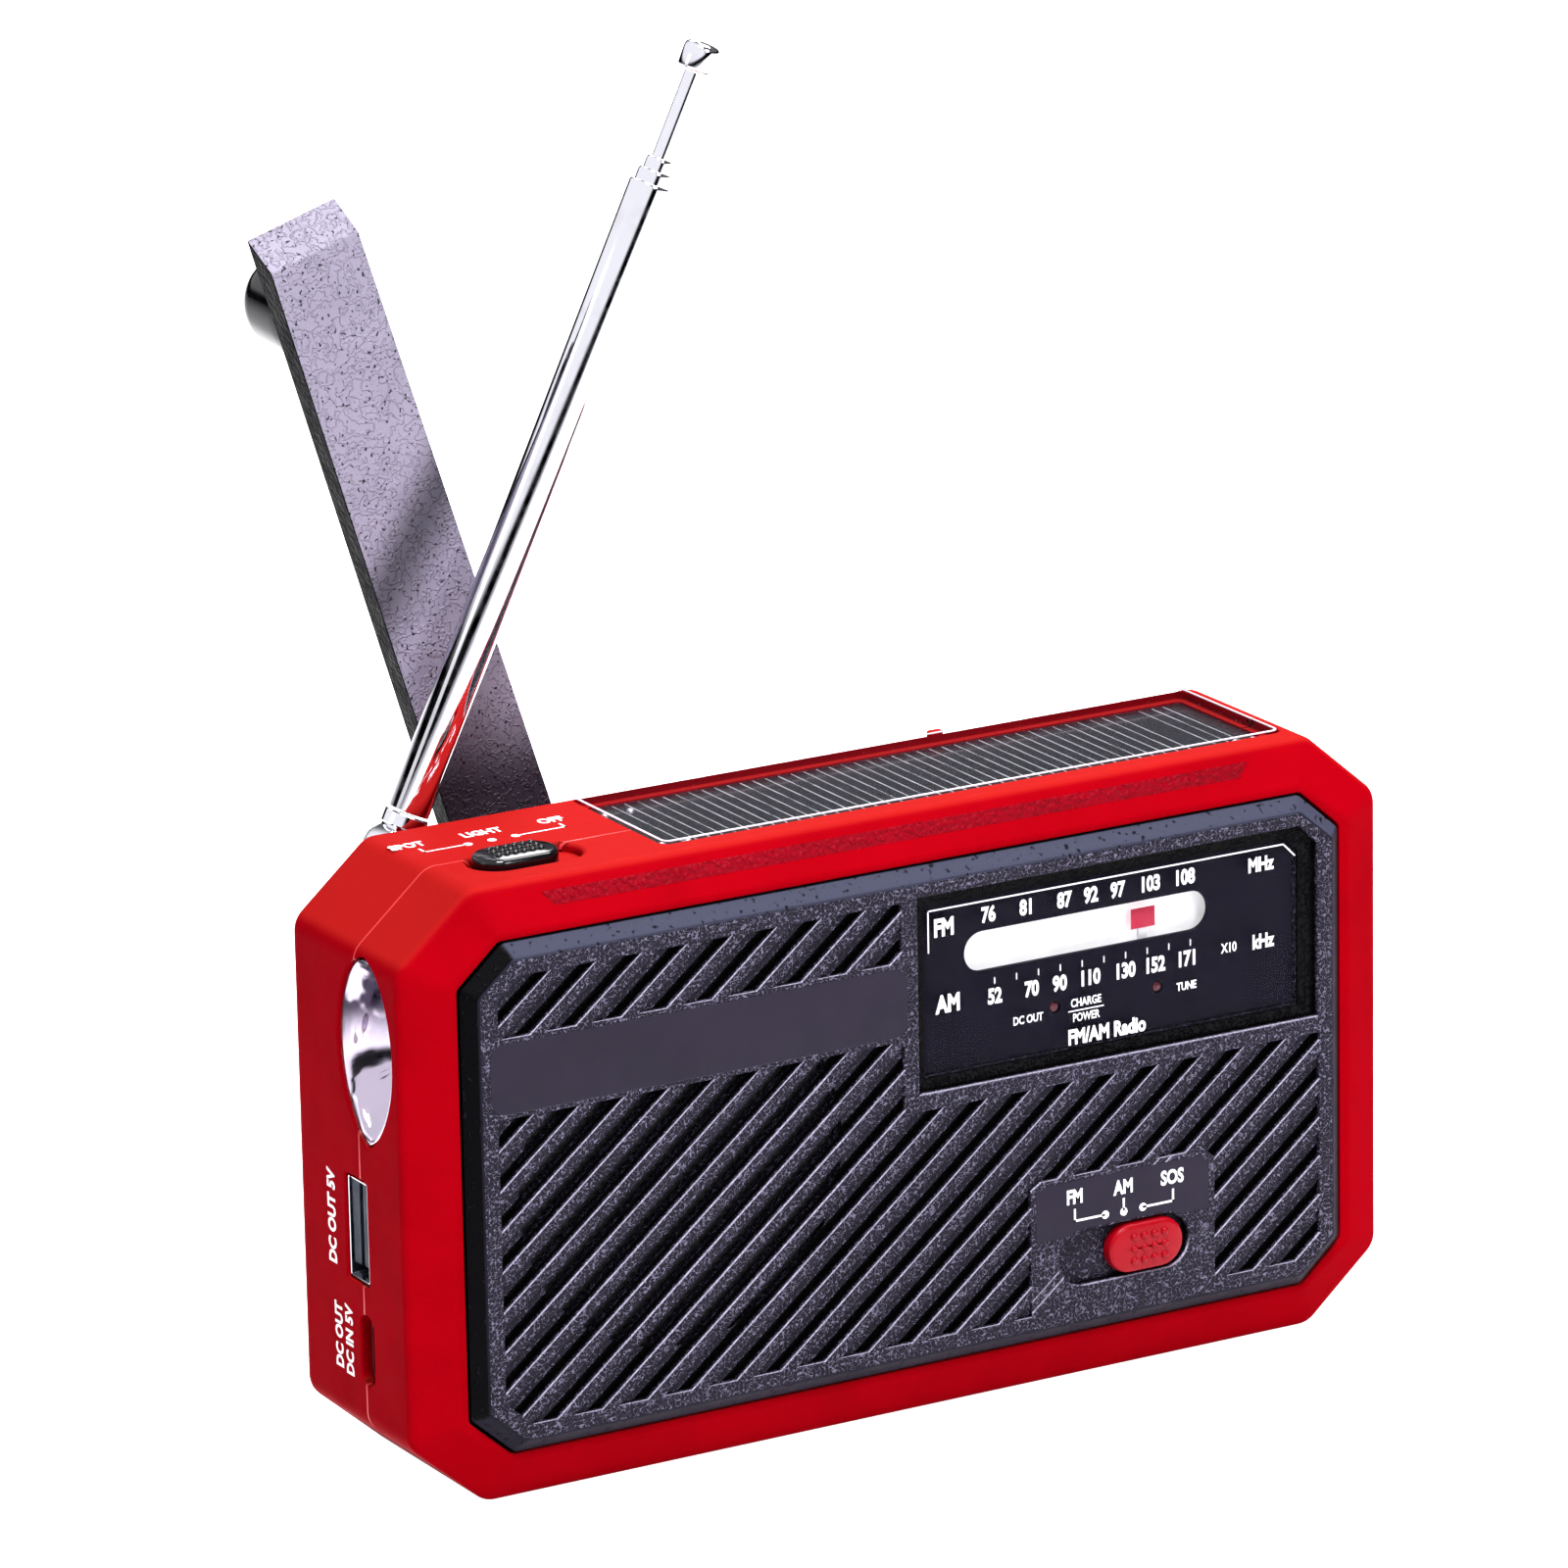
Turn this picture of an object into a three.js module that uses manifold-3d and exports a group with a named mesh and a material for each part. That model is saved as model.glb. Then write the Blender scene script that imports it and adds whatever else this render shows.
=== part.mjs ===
// Hand-crank emergency radio: a two-part red case with a dark ribbed front panel,
// a folding crank on the back, a telescopic antenna, a solar panel and a torch.
// Millimetres, +Z up, the front faces -Y, the origin is under the middle of the case.

import * as THREE from 'three';
import { mergeVertices } from 'three/addons/utils/BufferGeometryUtils.js';
import Module from 'manifold-3d';

const wasm = await Module();
wasm.setup();

// ---------------------------------------------------------------- driving sizes

const CASE_WIDTH = 144;
const CASE_HEIGHT = 80.5;
const HALF_W = CASE_WIDTH / 2;
const HALF_H = CASE_HEIGHT / 2;
const CHAMFER_X = 10.6;
const CHAMFER_Z = 9.2;
const CORNER_R = 3.5;
const WALL = 2;
const GAP = 0.3;

// planes from front to back
const Y_PANEL = -16.5;
const Y_LIP = -14.8;
const Y_BEVEL = -12.4;
const Y_PARTING = -1;
const Y_SIDE_END = 16.5;
const Y_BACK = 26;

const PANEL = { halfW: 62.7, halfH: 31.5, chamferX: 5, chamferZ: 4.35, bevel: 1.8 };
const PANEL_BASE = {
  halfW: PANEL.halfW + PANEL.bevel, halfH: PANEL.halfH + PANEL.bevel, chamferX: 6, chamferZ: 5.3,
};
const PLATE_BACK = -13.9;

// diagonal ribs of the front panel: z = slope * x + offset
const RIB_SLOPE = 0.82;
const RIB_STEP = 5.3;
const RIB_FIRST = 77.8;
const RIB_COUNT = 30;
const GROOVE_W = 1.4;
const GROOVE_DEPTH = 1.1;
const SLOT_W = 2;
const SPEAKER = { x: -34.4, z: 0, openR: 23.3, frameR: 25.4 };

const LABEL = { x0: -61.3, x1: -1.5, z0: 11.8, z1: 20.8, r: 2 };
const DIAL = { x0: 0.3, x1: 60.3, z0: 3.6, z1: 29.6, cut: 2.6 };
const WINDOW = { x0: 1.8, x1: 57.6, z0: 5.5, z1: 27.7, cut: 1.8 };
const SCALE_SLOT = { x0: 8.2, x1: 44.8, z0: 17.7, z1: 23 };
const POINTER = { x: 35.6, width: 3.6, z0: 19, z1: 21.7 };
const LED_Z = 11;
const CHARGE_LED_X = 21.5;
const TUNE_LED_X = 37;

const MODE_SLOT = { x0: 20.7, x1: 40.3, z0: -26.5, z1: -19.2 };
const MODE_KNOB = { x0: 28, x1: 39.3 };
const MODE_STEM = { x0: 35.4, x1: 38.2 };
const MODE_HOLE = { x0: 28.7, x1: 38.5 };
const LIGHT_SLOT = { x0: -56.5, x1: -41.3, y0: -7.4, y1: 0.1 };
const LIGHT_KNOB = { x0: -56, x1: -44.5 };
const LIGHT_STEM = { x0: -51.7, x1: -48.8 };
const LIGHT_HOLE = { x0: -52, x1: -45.6 };

const SOLAR = { x0: -32, x1: 60, y0: -8.9, y1: 15.5 };
const TORCH = { y: -3.3, z: 18.4, halfY: 6.7, halfZ: 12.1 };
const USB_A = { y0: -2.3, y1: 2.9, z0: -12.5, z1: 0.9 };
const USB_C = { y0: -3, y1: -0.1, z0: -25.7, z1: -16.9 };

const HUB = { x: -31, z: 20.75 };
const CRANK_LEAN = THREE.MathUtils.degToRad(17.35);
const PIN_Y = 26.6;
const ARM = { front: 0.4, thick: 4.2, length: 96.5, chamfer: 3.8, halfTip: 6.5, halfBase: 7.25 };
const KNOB_U = 87;
const RECESS_FLOOR = 21.2;
const HUB_FLOOR = 18;
const POCKET = { x: HUB.x + KNOB_U, r: 7.4, floor: 8.4 };

const ANTENNA = { x: -54.8, y: 20.5, z: 35.95 };
const ANTENNA_LEAN = THREE.MathUtils.degToRad(25.92);
const MAST = { start: 5.2, end: 90.2, radii: [2.75, 2.2, 1.7], wall: 0.3, step: 1.7 };
const ROD = { r: 1.15, start: 18.2, end: 105.2 };
const CAP = { r: 2.4, length: 3.9 };

const GEAR_MODULE = 1;
const TEETH = { drive: 30, stepSmall: 10, stepLarge: 28, pinion: 8 };
const GEAR_SLACK = 0.15;
const DRIVE_Y = [8, 11];
const STEP_Y = [12.2, 14.6];

const TUNING = { x: 60.8, z: 12.5, r: 15 };
const VOLUME = { x: 63.8, z: -15.8, r: 12 };
const WHEEL_Y = [-0.2, 4.8];
const SCREW = { x: 63.5, z: 33.25, head: 2.6, shank: 1.2 };
const DOOR = { x0: -50, x1: 16, z0: -32.4, z1: -15.4, travel: 5 };
const CELL = { x0: -50.5, x1: 14.5, y: 12.9, z: -24.2, r: 9 };

// ---------------------------------------------------------------- materials

const RED = new THREE.MeshStandardMaterial({ color: 0xb8101c, roughness: 0.45, metalness: 0 });
const SLATE = new THREE.MeshStandardMaterial({ color: 0x34323c, roughness: 0.6, metalness: 0 });
const GLOSS_BLACK = new THREE.MeshStandardMaterial({ color: 0x121216, roughness: 0.2, metalness: 0 });
const GREY = new THREE.MeshStandardMaterial({ color: 0x4a4854, roughness: 0.5, metalness: 0 });
const WHITE = new THREE.MeshStandardMaterial({ color: 0xf2f2f0, roughness: 0.5, metalness: 0 });
const PINK = new THREE.MeshStandardMaterial({ color: 0xe0325f, roughness: 0.4, metalness: 0 });
const CLEAR = new THREE.MeshStandardMaterial({ color: 0xdfe4ee, roughness: 0.05, metalness: 0 });
const CHROME = new THREE.MeshStandardMaterial({ color: 0xd8d8dc, roughness: 0.12, metalness: 1 });
const STEEL = new THREE.MeshStandardMaterial({ color: 0x9a9a9e, roughness: 0.35, metalness: 1 });
const BRASS = new THREE.MeshStandardMaterial({ color: 0xb08a4a, roughness: 0.35, metalness: 1 });
const COPPER = new THREE.MeshStandardMaterial({ color: 0xa8582c, roughness: 0.4, metalness: 0.9 });
const GREEN = new THREE.MeshStandardMaterial({ color: 0x1d5a34, roughness: 0.5, metalness: 0 });
const FERRITE = new THREE.MeshStandardMaterial({ color: 0x2a2826, roughness: 0.8, metalness: 0 });
const NYLON = new THREE.MeshStandardMaterial({ color: 0xe6e2d6, roughness: 0.6, metalness: 0 });
const BLUE = new THREE.MeshStandardMaterial({ color: 0x2a5aa8, roughness: 0.5, metalness: 0 });
const SOLAR_BLACK = new THREE.MeshStandardMaterial({ color: 0x14161e, roughness: 0.3, metalness: 0.2 });

// ---------------------------------------------------------------- solids

function solid(geometry) {
  const bare = geometry.clone();
  bare.deleteAttribute('normal');
  bare.deleteAttribute('uv');
  const merged = mergeVertices(bare, 1e-4);
  const vertProperties = new Float32Array(merged.attributes.position.array);
  const triVerts = new Uint32Array(merged.index.array);
  return new wasm.Manifold(new wasm.Mesh({ numProp: 3, vertProperties, triVerts }));
}

function geometryOf(body) {
  const mesh = body.getMesh();
  const geometry = new THREE.BufferGeometry();
  geometry.setAttribute('position', new THREE.BufferAttribute(mesh.vertProperties, 3));
  geometry.setIndex(new THREE.BufferAttribute(mesh.triVerts, 1));
  geometry.computeVertexNormals();
  return geometry;
}

function addAll(bodies) {
  return bodies.reduce((sum, body) => sum.add(body));
}

function block(x0, x1, y0, y1, z0, z1) {
  const geometry = new THREE.BoxGeometry(x1 - x0, y1 - y0, z1 - z0);
  return solid(geometry.translate((x0 + x1) / 2, (y0 + y1) / 2, (z0 + z1) / 2));
}

function rodY(x, z, r, y0, y1, sides = 24) {
  const geometry = new THREE.CylinderGeometry(r, r, y1 - y0, sides);
  return solid(geometry.translate(x, (y0 + y1) / 2, z));
}

function rodX(y, z, r, x0, x1, sides = 24) {
  const geometry = new THREE.CylinderGeometry(r, r, x1 - x0, sides).rotateZ(Math.PI / 2);
  return solid(geometry.translate((x0 + x1) / 2, y, z));
}

function rodZ(x, y, r, z0, z1, sides = 24) {
  const geometry = new THREE.CylinderGeometry(r, r, z1 - z0, sides).rotateX(Math.PI / 2);
  return solid(geometry.translate(x, y, (z0 + z1) / 2));
}

// a body of revolution about the Y axis from [radius, y] pairs that start and end on the axis
function turnedY(profile, sides = 24) {
  return solid(new THREE.LatheGeometry(profile.map(([r, y]) => new THREE.Vector2(r, y)), sides));
}

// an outline in X and Z pushed along Y
function slabY(shape, y0, y1, curveSegments = 4) {
  const options = { depth: y1 - y0, bevelEnabled: false, curveSegments };
  return solid(new THREE.ExtrudeGeometry(shape, options).rotateX(Math.PI / 2).translate(0, y1, 0));
}

// an outline in Y and Z pushed along X
function slabX(shape, x0, x1, curveSegments = 4) {
  const options = { depth: x1 - x0, bevelEnabled: false, curveSegments };
  const turn = new THREE.Matrix4().makeBasis(
    new THREE.Vector3(0, 1, 0), new THREE.Vector3(0, 0, 1), new THREE.Vector3(1, 0, 0));
  return solid(new THREE.ExtrudeGeometry(shape, options).applyMatrix4(turn).translate(x0, 0, 0));
}

// an outline in X and Y pushed along Z
function slabZ(shape, z0, z1, curveSegments = 4) {
  const options = { depth: z1 - z0, bevelEnabled: false, curveSegments };
  return solid(new THREE.ExtrudeGeometry(shape, options).translate(0, 0, z0));
}

function roundedRect(a0, a1, b0, b1, r) {
  const shape = new THREE.Shape();
  shape.moveTo(a0 + r, b0);
  shape.lineTo(a1 - r, b0);
  shape.absarc(a1 - r, b0 + r, r, -Math.PI / 2, 0);
  shape.lineTo(a1, b1 - r);
  shape.absarc(a1 - r, b1 - r, r, 0, Math.PI / 2);
  shape.lineTo(a0 + r, b1);
  shape.absarc(a0 + r, b1 - r, r, Math.PI / 2, Math.PI);
  shape.lineTo(a0, b0 + r);
  shape.absarc(a0 + r, b0 + r, r, Math.PI, Math.PI * 1.5);
  return shape;
}

// a slot or button outline with fully round ends
function stadium(a0, a1, b0, b1) {
  const r = Math.min(a1 - a0, b1 - b0) / 2 - 0.001;
  return roundedRect(a0, a1, b0, b1, r);
}

function polygon(points) {
  return new THREE.Shape(points.map(([a, b]) => new THREE.Vector2(a, b)));
}

// rounds every corner of a convex polygon with an arc of the given number of steps
function roundCorners(corners, radius, steps = 3) {
  const points = [];
  corners.forEach(([x, z], i) => {
    const here = new THREE.Vector2(x, z);
    const before = new THREE.Vector2(...corners.at(i - 1)).sub(here).normalize();
    const after = new THREE.Vector2(...corners[(i + 1) % corners.length]).sub(here).normalize();
    const half = Math.acos(THREE.MathUtils.clamp(before.dot(after), -1, 1)) / 2;
    const reach = radius / Math.tan(half);
    const start = here.clone().addScaledVector(before, reach);
    const end = here.clone().addScaledVector(after, reach);
    const curve = new THREE.QuadraticBezierCurve(start, here, end);
    points.push(...curve.getPoints(steps));
  });
  return points;
}

function octagon({ halfW, halfH, chamferX, chamferZ }, radius = CORNER_R, steps = 3) {
  const corners = [
    [halfW, -halfH + chamferZ], [halfW, halfH - chamferZ],
    [halfW - chamferX, halfH], [-halfW + chamferX, halfH],
    [-halfW, halfH - chamferZ], [-halfW, -halfH + chamferZ],
    [-halfW + chamferX, -halfH], [halfW - chamferX, -halfH],
  ];
  return roundCorners(corners, radius, steps);
}

// the case outline moved inwards by the same distance on every side
function caseOutline(inset, radius = CORNER_R, steps = 3) {
  const size = {
    halfW: HALF_W - inset,
    halfH: HALF_H - inset,
    chamferX: CHAMFER_X - 0.54 * inset,
    chamferZ: CHAMFER_Z - 0.62 * inset,
  };
  return octagon(size, radius, steps);
}

// skins a row of outlines, each { y, points }, into one closed body
function loftY(rings) {
  const count = rings[0].points.length;
  const position = [];
  rings.forEach(({ y, points }) => points.forEach((p) => position.push(p.x, y, p.y)));
  const index = [];
  for (let ring = 0; ring + 1 < rings.length; ring += 1) {
    for (let i = 0; i < count; i += 1) {
      const a = ring * count + i;
      const b = ring * count + (i + 1) % count;
      index.push(a, a + count, b);
      index.push(b, a + count, b + count);
    }
  }
  const last = (rings.length - 1) * count;
  for (let i = 1; i + 1 < count; i += 1) {
    index.push(0, i, i + 1);
    index.push(last, last + i + 1, last + i);
  }
  const geometry = new THREE.BufferGeometry();
  geometry.setAttribute('position', new THREE.Float32BufferAttribute(position, 3));
  geometry.setIndex(index);
  return solid(geometry);
}

function part(name, body, material) {
  const mesh = new THREE.Mesh(geometryOf(body), material);
  mesh.name = name;
  return mesh;
}

// ---------------------------------------------------------------- shared openings

// an upright oval that comes to a blunt point at the bottom and, less so, at the top
function torchOutline(grow) {
  const points = [];
  const count = 28;
  for (let i = 0; i < count; i += 1) {
    const turn = (i / count) * Math.PI * 2;
    const sharpness = Math.sin(turn) < 0 ? 0.3 : 0.12;
    const across = Math.cos(turn) * Math.abs(Math.cos(turn)) ** sharpness;
    points.push([
      TORCH.y + (TORCH.halfY + grow) * across, TORCH.z + (TORCH.halfZ + grow) * Math.sin(turn),
    ]);
  }
  return points;
}

function sideOpenings() {
  const wallOut = -HALF_W - 1;
  return addAll([
    slabX(polygon(torchOutline(GAP)), wallOut, -HALF_W + WALL + 1),
    slabX(roundedRect(USB_A.y0 - GAP, USB_A.y1 + GAP, USB_A.z0 - GAP, USB_A.z1 + GAP, 0.4), wallOut, -60),
    slabX(stadium(USB_C.y0 - GAP, USB_C.y1 + GAP, USB_C.z0 - GAP, USB_C.z1 + GAP), wallOut, -60),
  ]);
}

function topOpenings() {
  const rim = 1.2;
  const ledge = HALF_H - 1.3;
  return addAll([
    slabZ(stadium(LIGHT_SLOT.x0, LIGHT_SLOT.x1, LIGHT_SLOT.y0, LIGHT_SLOT.y1), HALF_H - 1.2, HALF_H + 3),
    block(LIGHT_HOLE.x0, LIGHT_HOLE.x1, -5, -2.4, HALF_H - 4, HALF_H),
    block(SOLAR.x0, SOLAR.x1, SOLAR.y0, SOLAR.y1, ledge, HALF_H + 2),
    block(SOLAR.x0 + rim, SOLAR.x1 - rim, SOLAR.y0 + rim, 14.2, HALF_H - WALL - 1, HALF_H),
  ]);
}

function wheelOpenings() {
  const slot = (wheel) => {
    const reach = Math.sqrt(wheel.r ** 2 - (HALF_W - WALL - wheel.x) ** 2) + 1;
    return block(68, 76, WHEEL_Y[0] - 1, WHEEL_Y[1] + 0.6, wheel.z - reach, wheel.z + reach);
  };
  return slot(TUNING).add(slot(VOLUME));
}

const SCREW_PLACES = [[-1, 1], [1, 1], [-1, -1], [1, -1]].map(([a, b]) => [a * SCREW.x, b * SCREW.z]);

// ---------------------------------------------------------------- case

function frontShell() {
  const outer = loftY([
    { y: Y_LIP, points: caseOutline(5.9, 2) },
    { y: Y_LIP + 0.5, points: caseOutline(4.6, 2.3) },
    { y: Y_BEVEL, points: caseOutline(0) },
    { y: Y_PARTING - GAP / 2, points: caseOutline(0) },
  ]);
  const cavity = loftY([
    { y: -11, points: caseOutline(WALL, 2) },
    { y: 0, points: caseOutline(WALL, 2) },
  ]);
  const opening = { ...PANEL_BASE, halfW: PANEL_BASE.halfW + GAP, halfH: PANEL_BASE.halfH + GAP };
  const mouth = loftY([
    { y: -17, points: octagon(opening, 1.2) },
    { y: -10, points: octagon(opening, 1.2) },
  ]);
  const bosses = addAll(SCREW_PLACES.map(([x, z]) => rodY(x, z, 3.6, -8.6, Y_PARTING - GAP / 2, 16)));
  const pilots = addAll(SCREW_PLACES.map(([x, z]) => rodY(x, z, 1.5, -7.4, 0, 12)));
  const grip = slabY(polygon([[-54.5, 38.9], [-52.5, 37.2], [48.5, 37.2], [50.5, 38.9]]), -15, -12.75);
  return outer.subtract(cavity).subtract(mouth).add(bosses).subtract(pilots)
    .subtract(sideOpenings()).subtract(topOpenings()).subtract(wheelOpenings()).subtract(grip);
}

function backOutline(halfW, z0, z1, chamfer, radius) {
  return roundCorners([
    [halfW, z0 + chamfer], [halfW, z1 - chamfer], [halfW - chamfer, z1], [-halfW + chamfer, z1],
    [-halfW, z1 - chamfer], [-halfW, z0 + chamfer], [-halfW + chamfer, z0], [halfW - chamfer, z0],
  ], radius);
}

function rearShellOuter() {
  const body = loftY([
    { y: Y_PARTING + GAP / 2, points: caseOutline(0) },
    { y: Y_SIDE_END - 2, points: caseOutline(0) },
    { y: Y_SIDE_END - 0.6, points: caseOutline(0.6, 3) },
    { y: Y_SIDE_END, points: caseOutline(2, 3) },
  ]);
  const bulge = loftY([
    { y: Y_SIDE_END - 1, points: backOutline(69.2, -37.6, 32, 9, 3) },
    { y: Y_BACK - 1, points: backOutline(66.2, -35.2, 31.3, 8.4, 3) },
    { y: Y_BACK, points: backOutline(65, -34.2, 30.3, 8, 3) },
  ]);
  return body.add(bulge);
}

function rearShellInner() {
  const body = loftY([
    { y: -2, points: caseOutline(WALL, 2) },
    { y: Y_SIDE_END - WALL, points: caseOutline(WALL, 2) },
  ]);
  const bulge = loftY([
    { y: 14, points: backOutline(66.8, -35.4, 29.8, 8.6, 2) },
    { y: Y_BACK - WALL, points: backOutline(64, -33.2, 29, 8, 2) },
  ]);
  return body.add(bulge);
}

function crankRecess(grow) {
  const depth = grow * 0.9;
  return addAll([
    block(HUB.x, 90, RECESS_FLOOR - depth, 40, HUB.z - 8.5 - grow, HUB.z + 8.5 + grow),
    rodY(HUB.x, HUB.z, 12 + grow, RECESS_FLOOR - depth, 40, 32),
    rodY(HUB.x, HUB.z, 11.6 + grow, HUB_FLOOR - depth, 40, 32),
    rodY(POCKET.x, HUB.z, POCKET.r + grow, POCKET.floor - depth, 40, 24),
  ]);
}

function rearShell() {
  const outer = rearShellOuter();
  const doorEnd = DOOR.x1 + DOOR.travel + GAP;
  const doorSeat = block(DOOR.x0 - 2, doorEnd + 2, 22.4, 30, DOOR.z0 - 1.5, DOOR.z1 + 2);
  const bosses = addAll(SCREW_PLACES.map(([x, z]) => rodY(x, z, 4.3, Y_PARTING + GAP / 2, 15, 16)));
  const added = addAll([crankRecess(1.8), doorSeat, bosses]).intersect(outer);
  const shell = outer.subtract(rearShellInner()).add(added);
  const door = block(DOOR.x0 - GAP, doorEnd, 24, 30, DOOR.z0 - GAP, DOOR.z1 + GAP);
  const bay = block(DOOR.x0 + 1.5, DOOR.x1 - 1.5, 20, 30, DOOR.z0 + 1.5, DOOR.z1 - 1.5);
  const screwHoles = addAll(SCREW_PLACES.map(([x, z]) => (
    rodY(x, z, 1.6, -3, 20, 12).add(rodY(x, z, SCREW.head + 0.4, 9.9, 30, 16)))));
  const shaftHole = rodY(HUB.x, HUB.z, 2.65, 10, 30, 24);
  const boltHole = rodY(ANTENNA.x, ANTENNA.z, 1.9, 12, 18, 16);
  const mastRest = slabZ(roundedRect(21.2, 23.8, 15.6, 17, 0.5), 36, HALF_H + 0.5, 2);
  return shell.subtract(crankRecess(0)).subtract(door).subtract(bay).subtract(screwHoles)
    .subtract(shaftHole).subtract(boltHole).subtract(sideOpenings()).subtract(topOpenings())
    .subtract(wheelOpenings()).add(mastRest);
}

function caseScrew([x, z]) {
  const head = rodY(x, z, SCREW.head, 10.2, 12.2, 16);
  return head.add(rodY(x, z, SCREW.shank, -7, 11, 12)).subtract(screwCross(x, z, 11.3));
}

function screwCross(x, z, y) {
  const long = 1.4;
  const thin = 0.3;
  return block(x - long, x + long, y, y + 2, z - thin, z + thin)
    .add(block(x - thin, x + thin, y, y + 2, z - long, z + long));
}

function batteryDoor() {
  const plate = block(DOOR.x0, DOOR.x1, 24.3, Y_BACK, DOOR.z0, DOOR.z1);
  const thumb = rodY(-17, DOOR.z1 - 4, 2.6, 25.3, 28, 16);
  return plate.subtract(thumb);
}

// ---------------------------------------------------------------- front panel

function ribBars(width, depthFront, depthBack) {
  const slant = Math.hypot(1, RIB_SLOPE);
  const bars = [];
  for (let n = 0; n < RIB_COUNT; n += 1) {
    const offset = RIB_FIRST - n * RIB_STEP;
    const rise = width * slant;
    const low = (x) => RIB_SLOPE * x + offset;
    const outline = [[-70, low(-70)], [70, low(70)], [70, low(70) + rise], [-70, low(-70) + rise]];
    bars.push(slabY(polygon(outline), depthFront, depthBack));
  }
  return addAll(bars);
}

function ribZones() {
  const upper = polygon([[-60, 21.6], [-2.2, 21.6], [-2.2, 29.3], [-57.5, 29.3], [-60, 27]]);
  const lower = polygon([
    [-60.3, -26.2], [-56.6, -29.4], [16.4, -29.4], [16.4, -12.4], [18, -11.4], [42.8, -11.4],
    [44.4, -12.8], [44.4, -29.4], [56.8, -29.4], [60.5, -26.2], [60.5, 1.2], [-2, 1.2], [-2, 11],
    [-60.3, 11],
  ]);
  return slabY(upper, -30, 0).add(slabY(lower, -30, 0));
}

function chamferedRect({ x0, x1, z0, z1, cut }, grow = 0) {
  return polygon([
    [x0 - grow, z0 - grow], [x1 + grow, z0 - grow], [x1 + grow, z1 - cut + grow],
    [x1 - cut + grow, z1 + grow], [x0 - grow, z1 + grow],
  ]);
}

function frontGrille() {
  const body = loftY([
    { y: Y_PANEL, points: octagon(PANEL, 1) },
    { y: Y_LIP, points: octagon(PANEL_BASE, 1) },
    { y: -10.6, points: octagon(PANEL_BASE, 1) },
  ]);
  const flangeSize = { halfW: 67, halfH: 36, chamferX: 7, chamferZ: 6.2 };
  const flange = slabY(new THREE.Shape(octagon(flangeSize, 1)), -10.7, -9.4);
  const pocketSize = { halfW: 61, halfH: 29.8, chamferX: 4, chamferZ: 3.6 };
  const pocket = slabY(new THREE.Shape(octagon(pocketSize, 1)), PLATE_BACK, 0);
  const zones = ribZones();
  const circle = rodY(SPEAKER.x, SPEAKER.z, SPEAKER.openR, -30, 0, 40);
  const grooves = ribBars(GROOVE_W, -20, Y_PANEL + GROOVE_DEPTH).intersect(zones);
  const slots = ribBars(SLOT_W, -20, -10).intersect(zones.intersect(circle));
  const label = slabY(roundedRect(LABEL.x0, LABEL.x1, LABEL.z0, LABEL.z1, LABEL.r), -20, -15.3);
  const dial = slabY(chamferedRect(DIAL), -20, -15.5);
  const display = slabY(chamferedRect(WINDOW, GAP), -20, -10);
  const modeSlot = slabY(stadium(MODE_SLOT.x0, MODE_SLOT.x1, MODE_SLOT.z0, MODE_SLOT.z1), -20, -15, 6);
  const modeStem = block(MODE_HOLE.x0, MODE_HOLE.x1, -18, -10, -24.2, -21.5);
  return body.add(flange).subtract(pocket).subtract(grooves).subtract(slots).subtract(label)
    .subtract(dial).subtract(display).subtract(modeSlot).subtract(modeStem);
}

function labelStrip() {
  const { x0, x1, z0, z1, r } = LABEL;
  return slabY(roundedRect(x0 + GAP, x1 - GAP, z0 + GAP, z1 - GAP, r), -16.55, -15.6);
}

function dialWindow() {
  return slabY(chamferedRect(WINDOW), -15.9, -14.9);
}

function dialPlate() {
  const plate = slabY(chamferedRect(WINDOW), -14.6, -13.9);
  const slot = slabY(stadium(SCALE_SLOT.x0, SCALE_SLOT.x1, SCALE_SLOT.z0, SCALE_SLOT.z1), -20, 0, 6);
  const lamps = rodY(CHARGE_LED_X, LED_Z, 1, -20, 0, 12).add(rodY(TUNE_LED_X, LED_Z, 1, -20, 0, 12));
  return plate.subtract(slot).subtract(lamps);
}

function scaleBacking() {
  return block(5.5, 47.5, -12.4, -11.8, 16, 27.2);
}

function tuningPointer() {
  const { x, width, z0, z1 } = POINTER;
  const blade = block(x - width / 2, x + width / 2, -13.5, -12.9, z0, z1);
  const neck = block(x - 0.6, x + 0.6, -13.5, -12.9, 13, z0 + 0.5);
  const foot = block(x - 3, x + 3, -13.5, -9.6, 13, 15.4);
  return blade.add(neck).add(foot);
}

function dialLed(x) {
  return rodY(x, LED_Z, 0.7, -14.5, -11, 12);
}

function modeKnob() {
  const z0 = MODE_SLOT.z0 + 0.35;
  const z1 = MODE_SLOT.z1 - 0.35;
  const top = slabY(stadium(MODE_KNOB.x0, MODE_KNOB.x1, z0, z1), -17.4, -15.3, 6);
  const stem = block(MODE_STEM.x0, MODE_STEM.x1, -15.4, -12.2, -23.8, -21.9);
  return top.add(stem);
}

function modeSwitchBody() {
  const body = block(MODE_HOLE.x0 - 1.2, MODE_HOLE.x1 + 1.2, -13.4, -8.8, -26, -19.8);
  return body.subtract(block(MODE_HOLE.x0, MODE_HOLE.x1, -14, -11.6, -24.3, -21.4));
}

// ---------------------------------------------------------------- speaker

function speakerFrame() {
  const profile = [
    [23, -13.2], [SPEAKER.frameR, -13.2], [SPEAKER.frameR, -12], [22.6, -12], [14, -6.3], [12.3, -6.3],
    [12.3, -7.3], [13.4, -7.3], [21.6, -12.4], [23, -12.4],
  ];
  const ring = profile.concat([profile[0]]);
  return solid(new THREE.LatheGeometry(ring.map(([r, y]) => new THREE.Vector2(r, y)), 28)
    .translate(SPEAKER.x, 0, SPEAKER.z));
}

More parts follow.
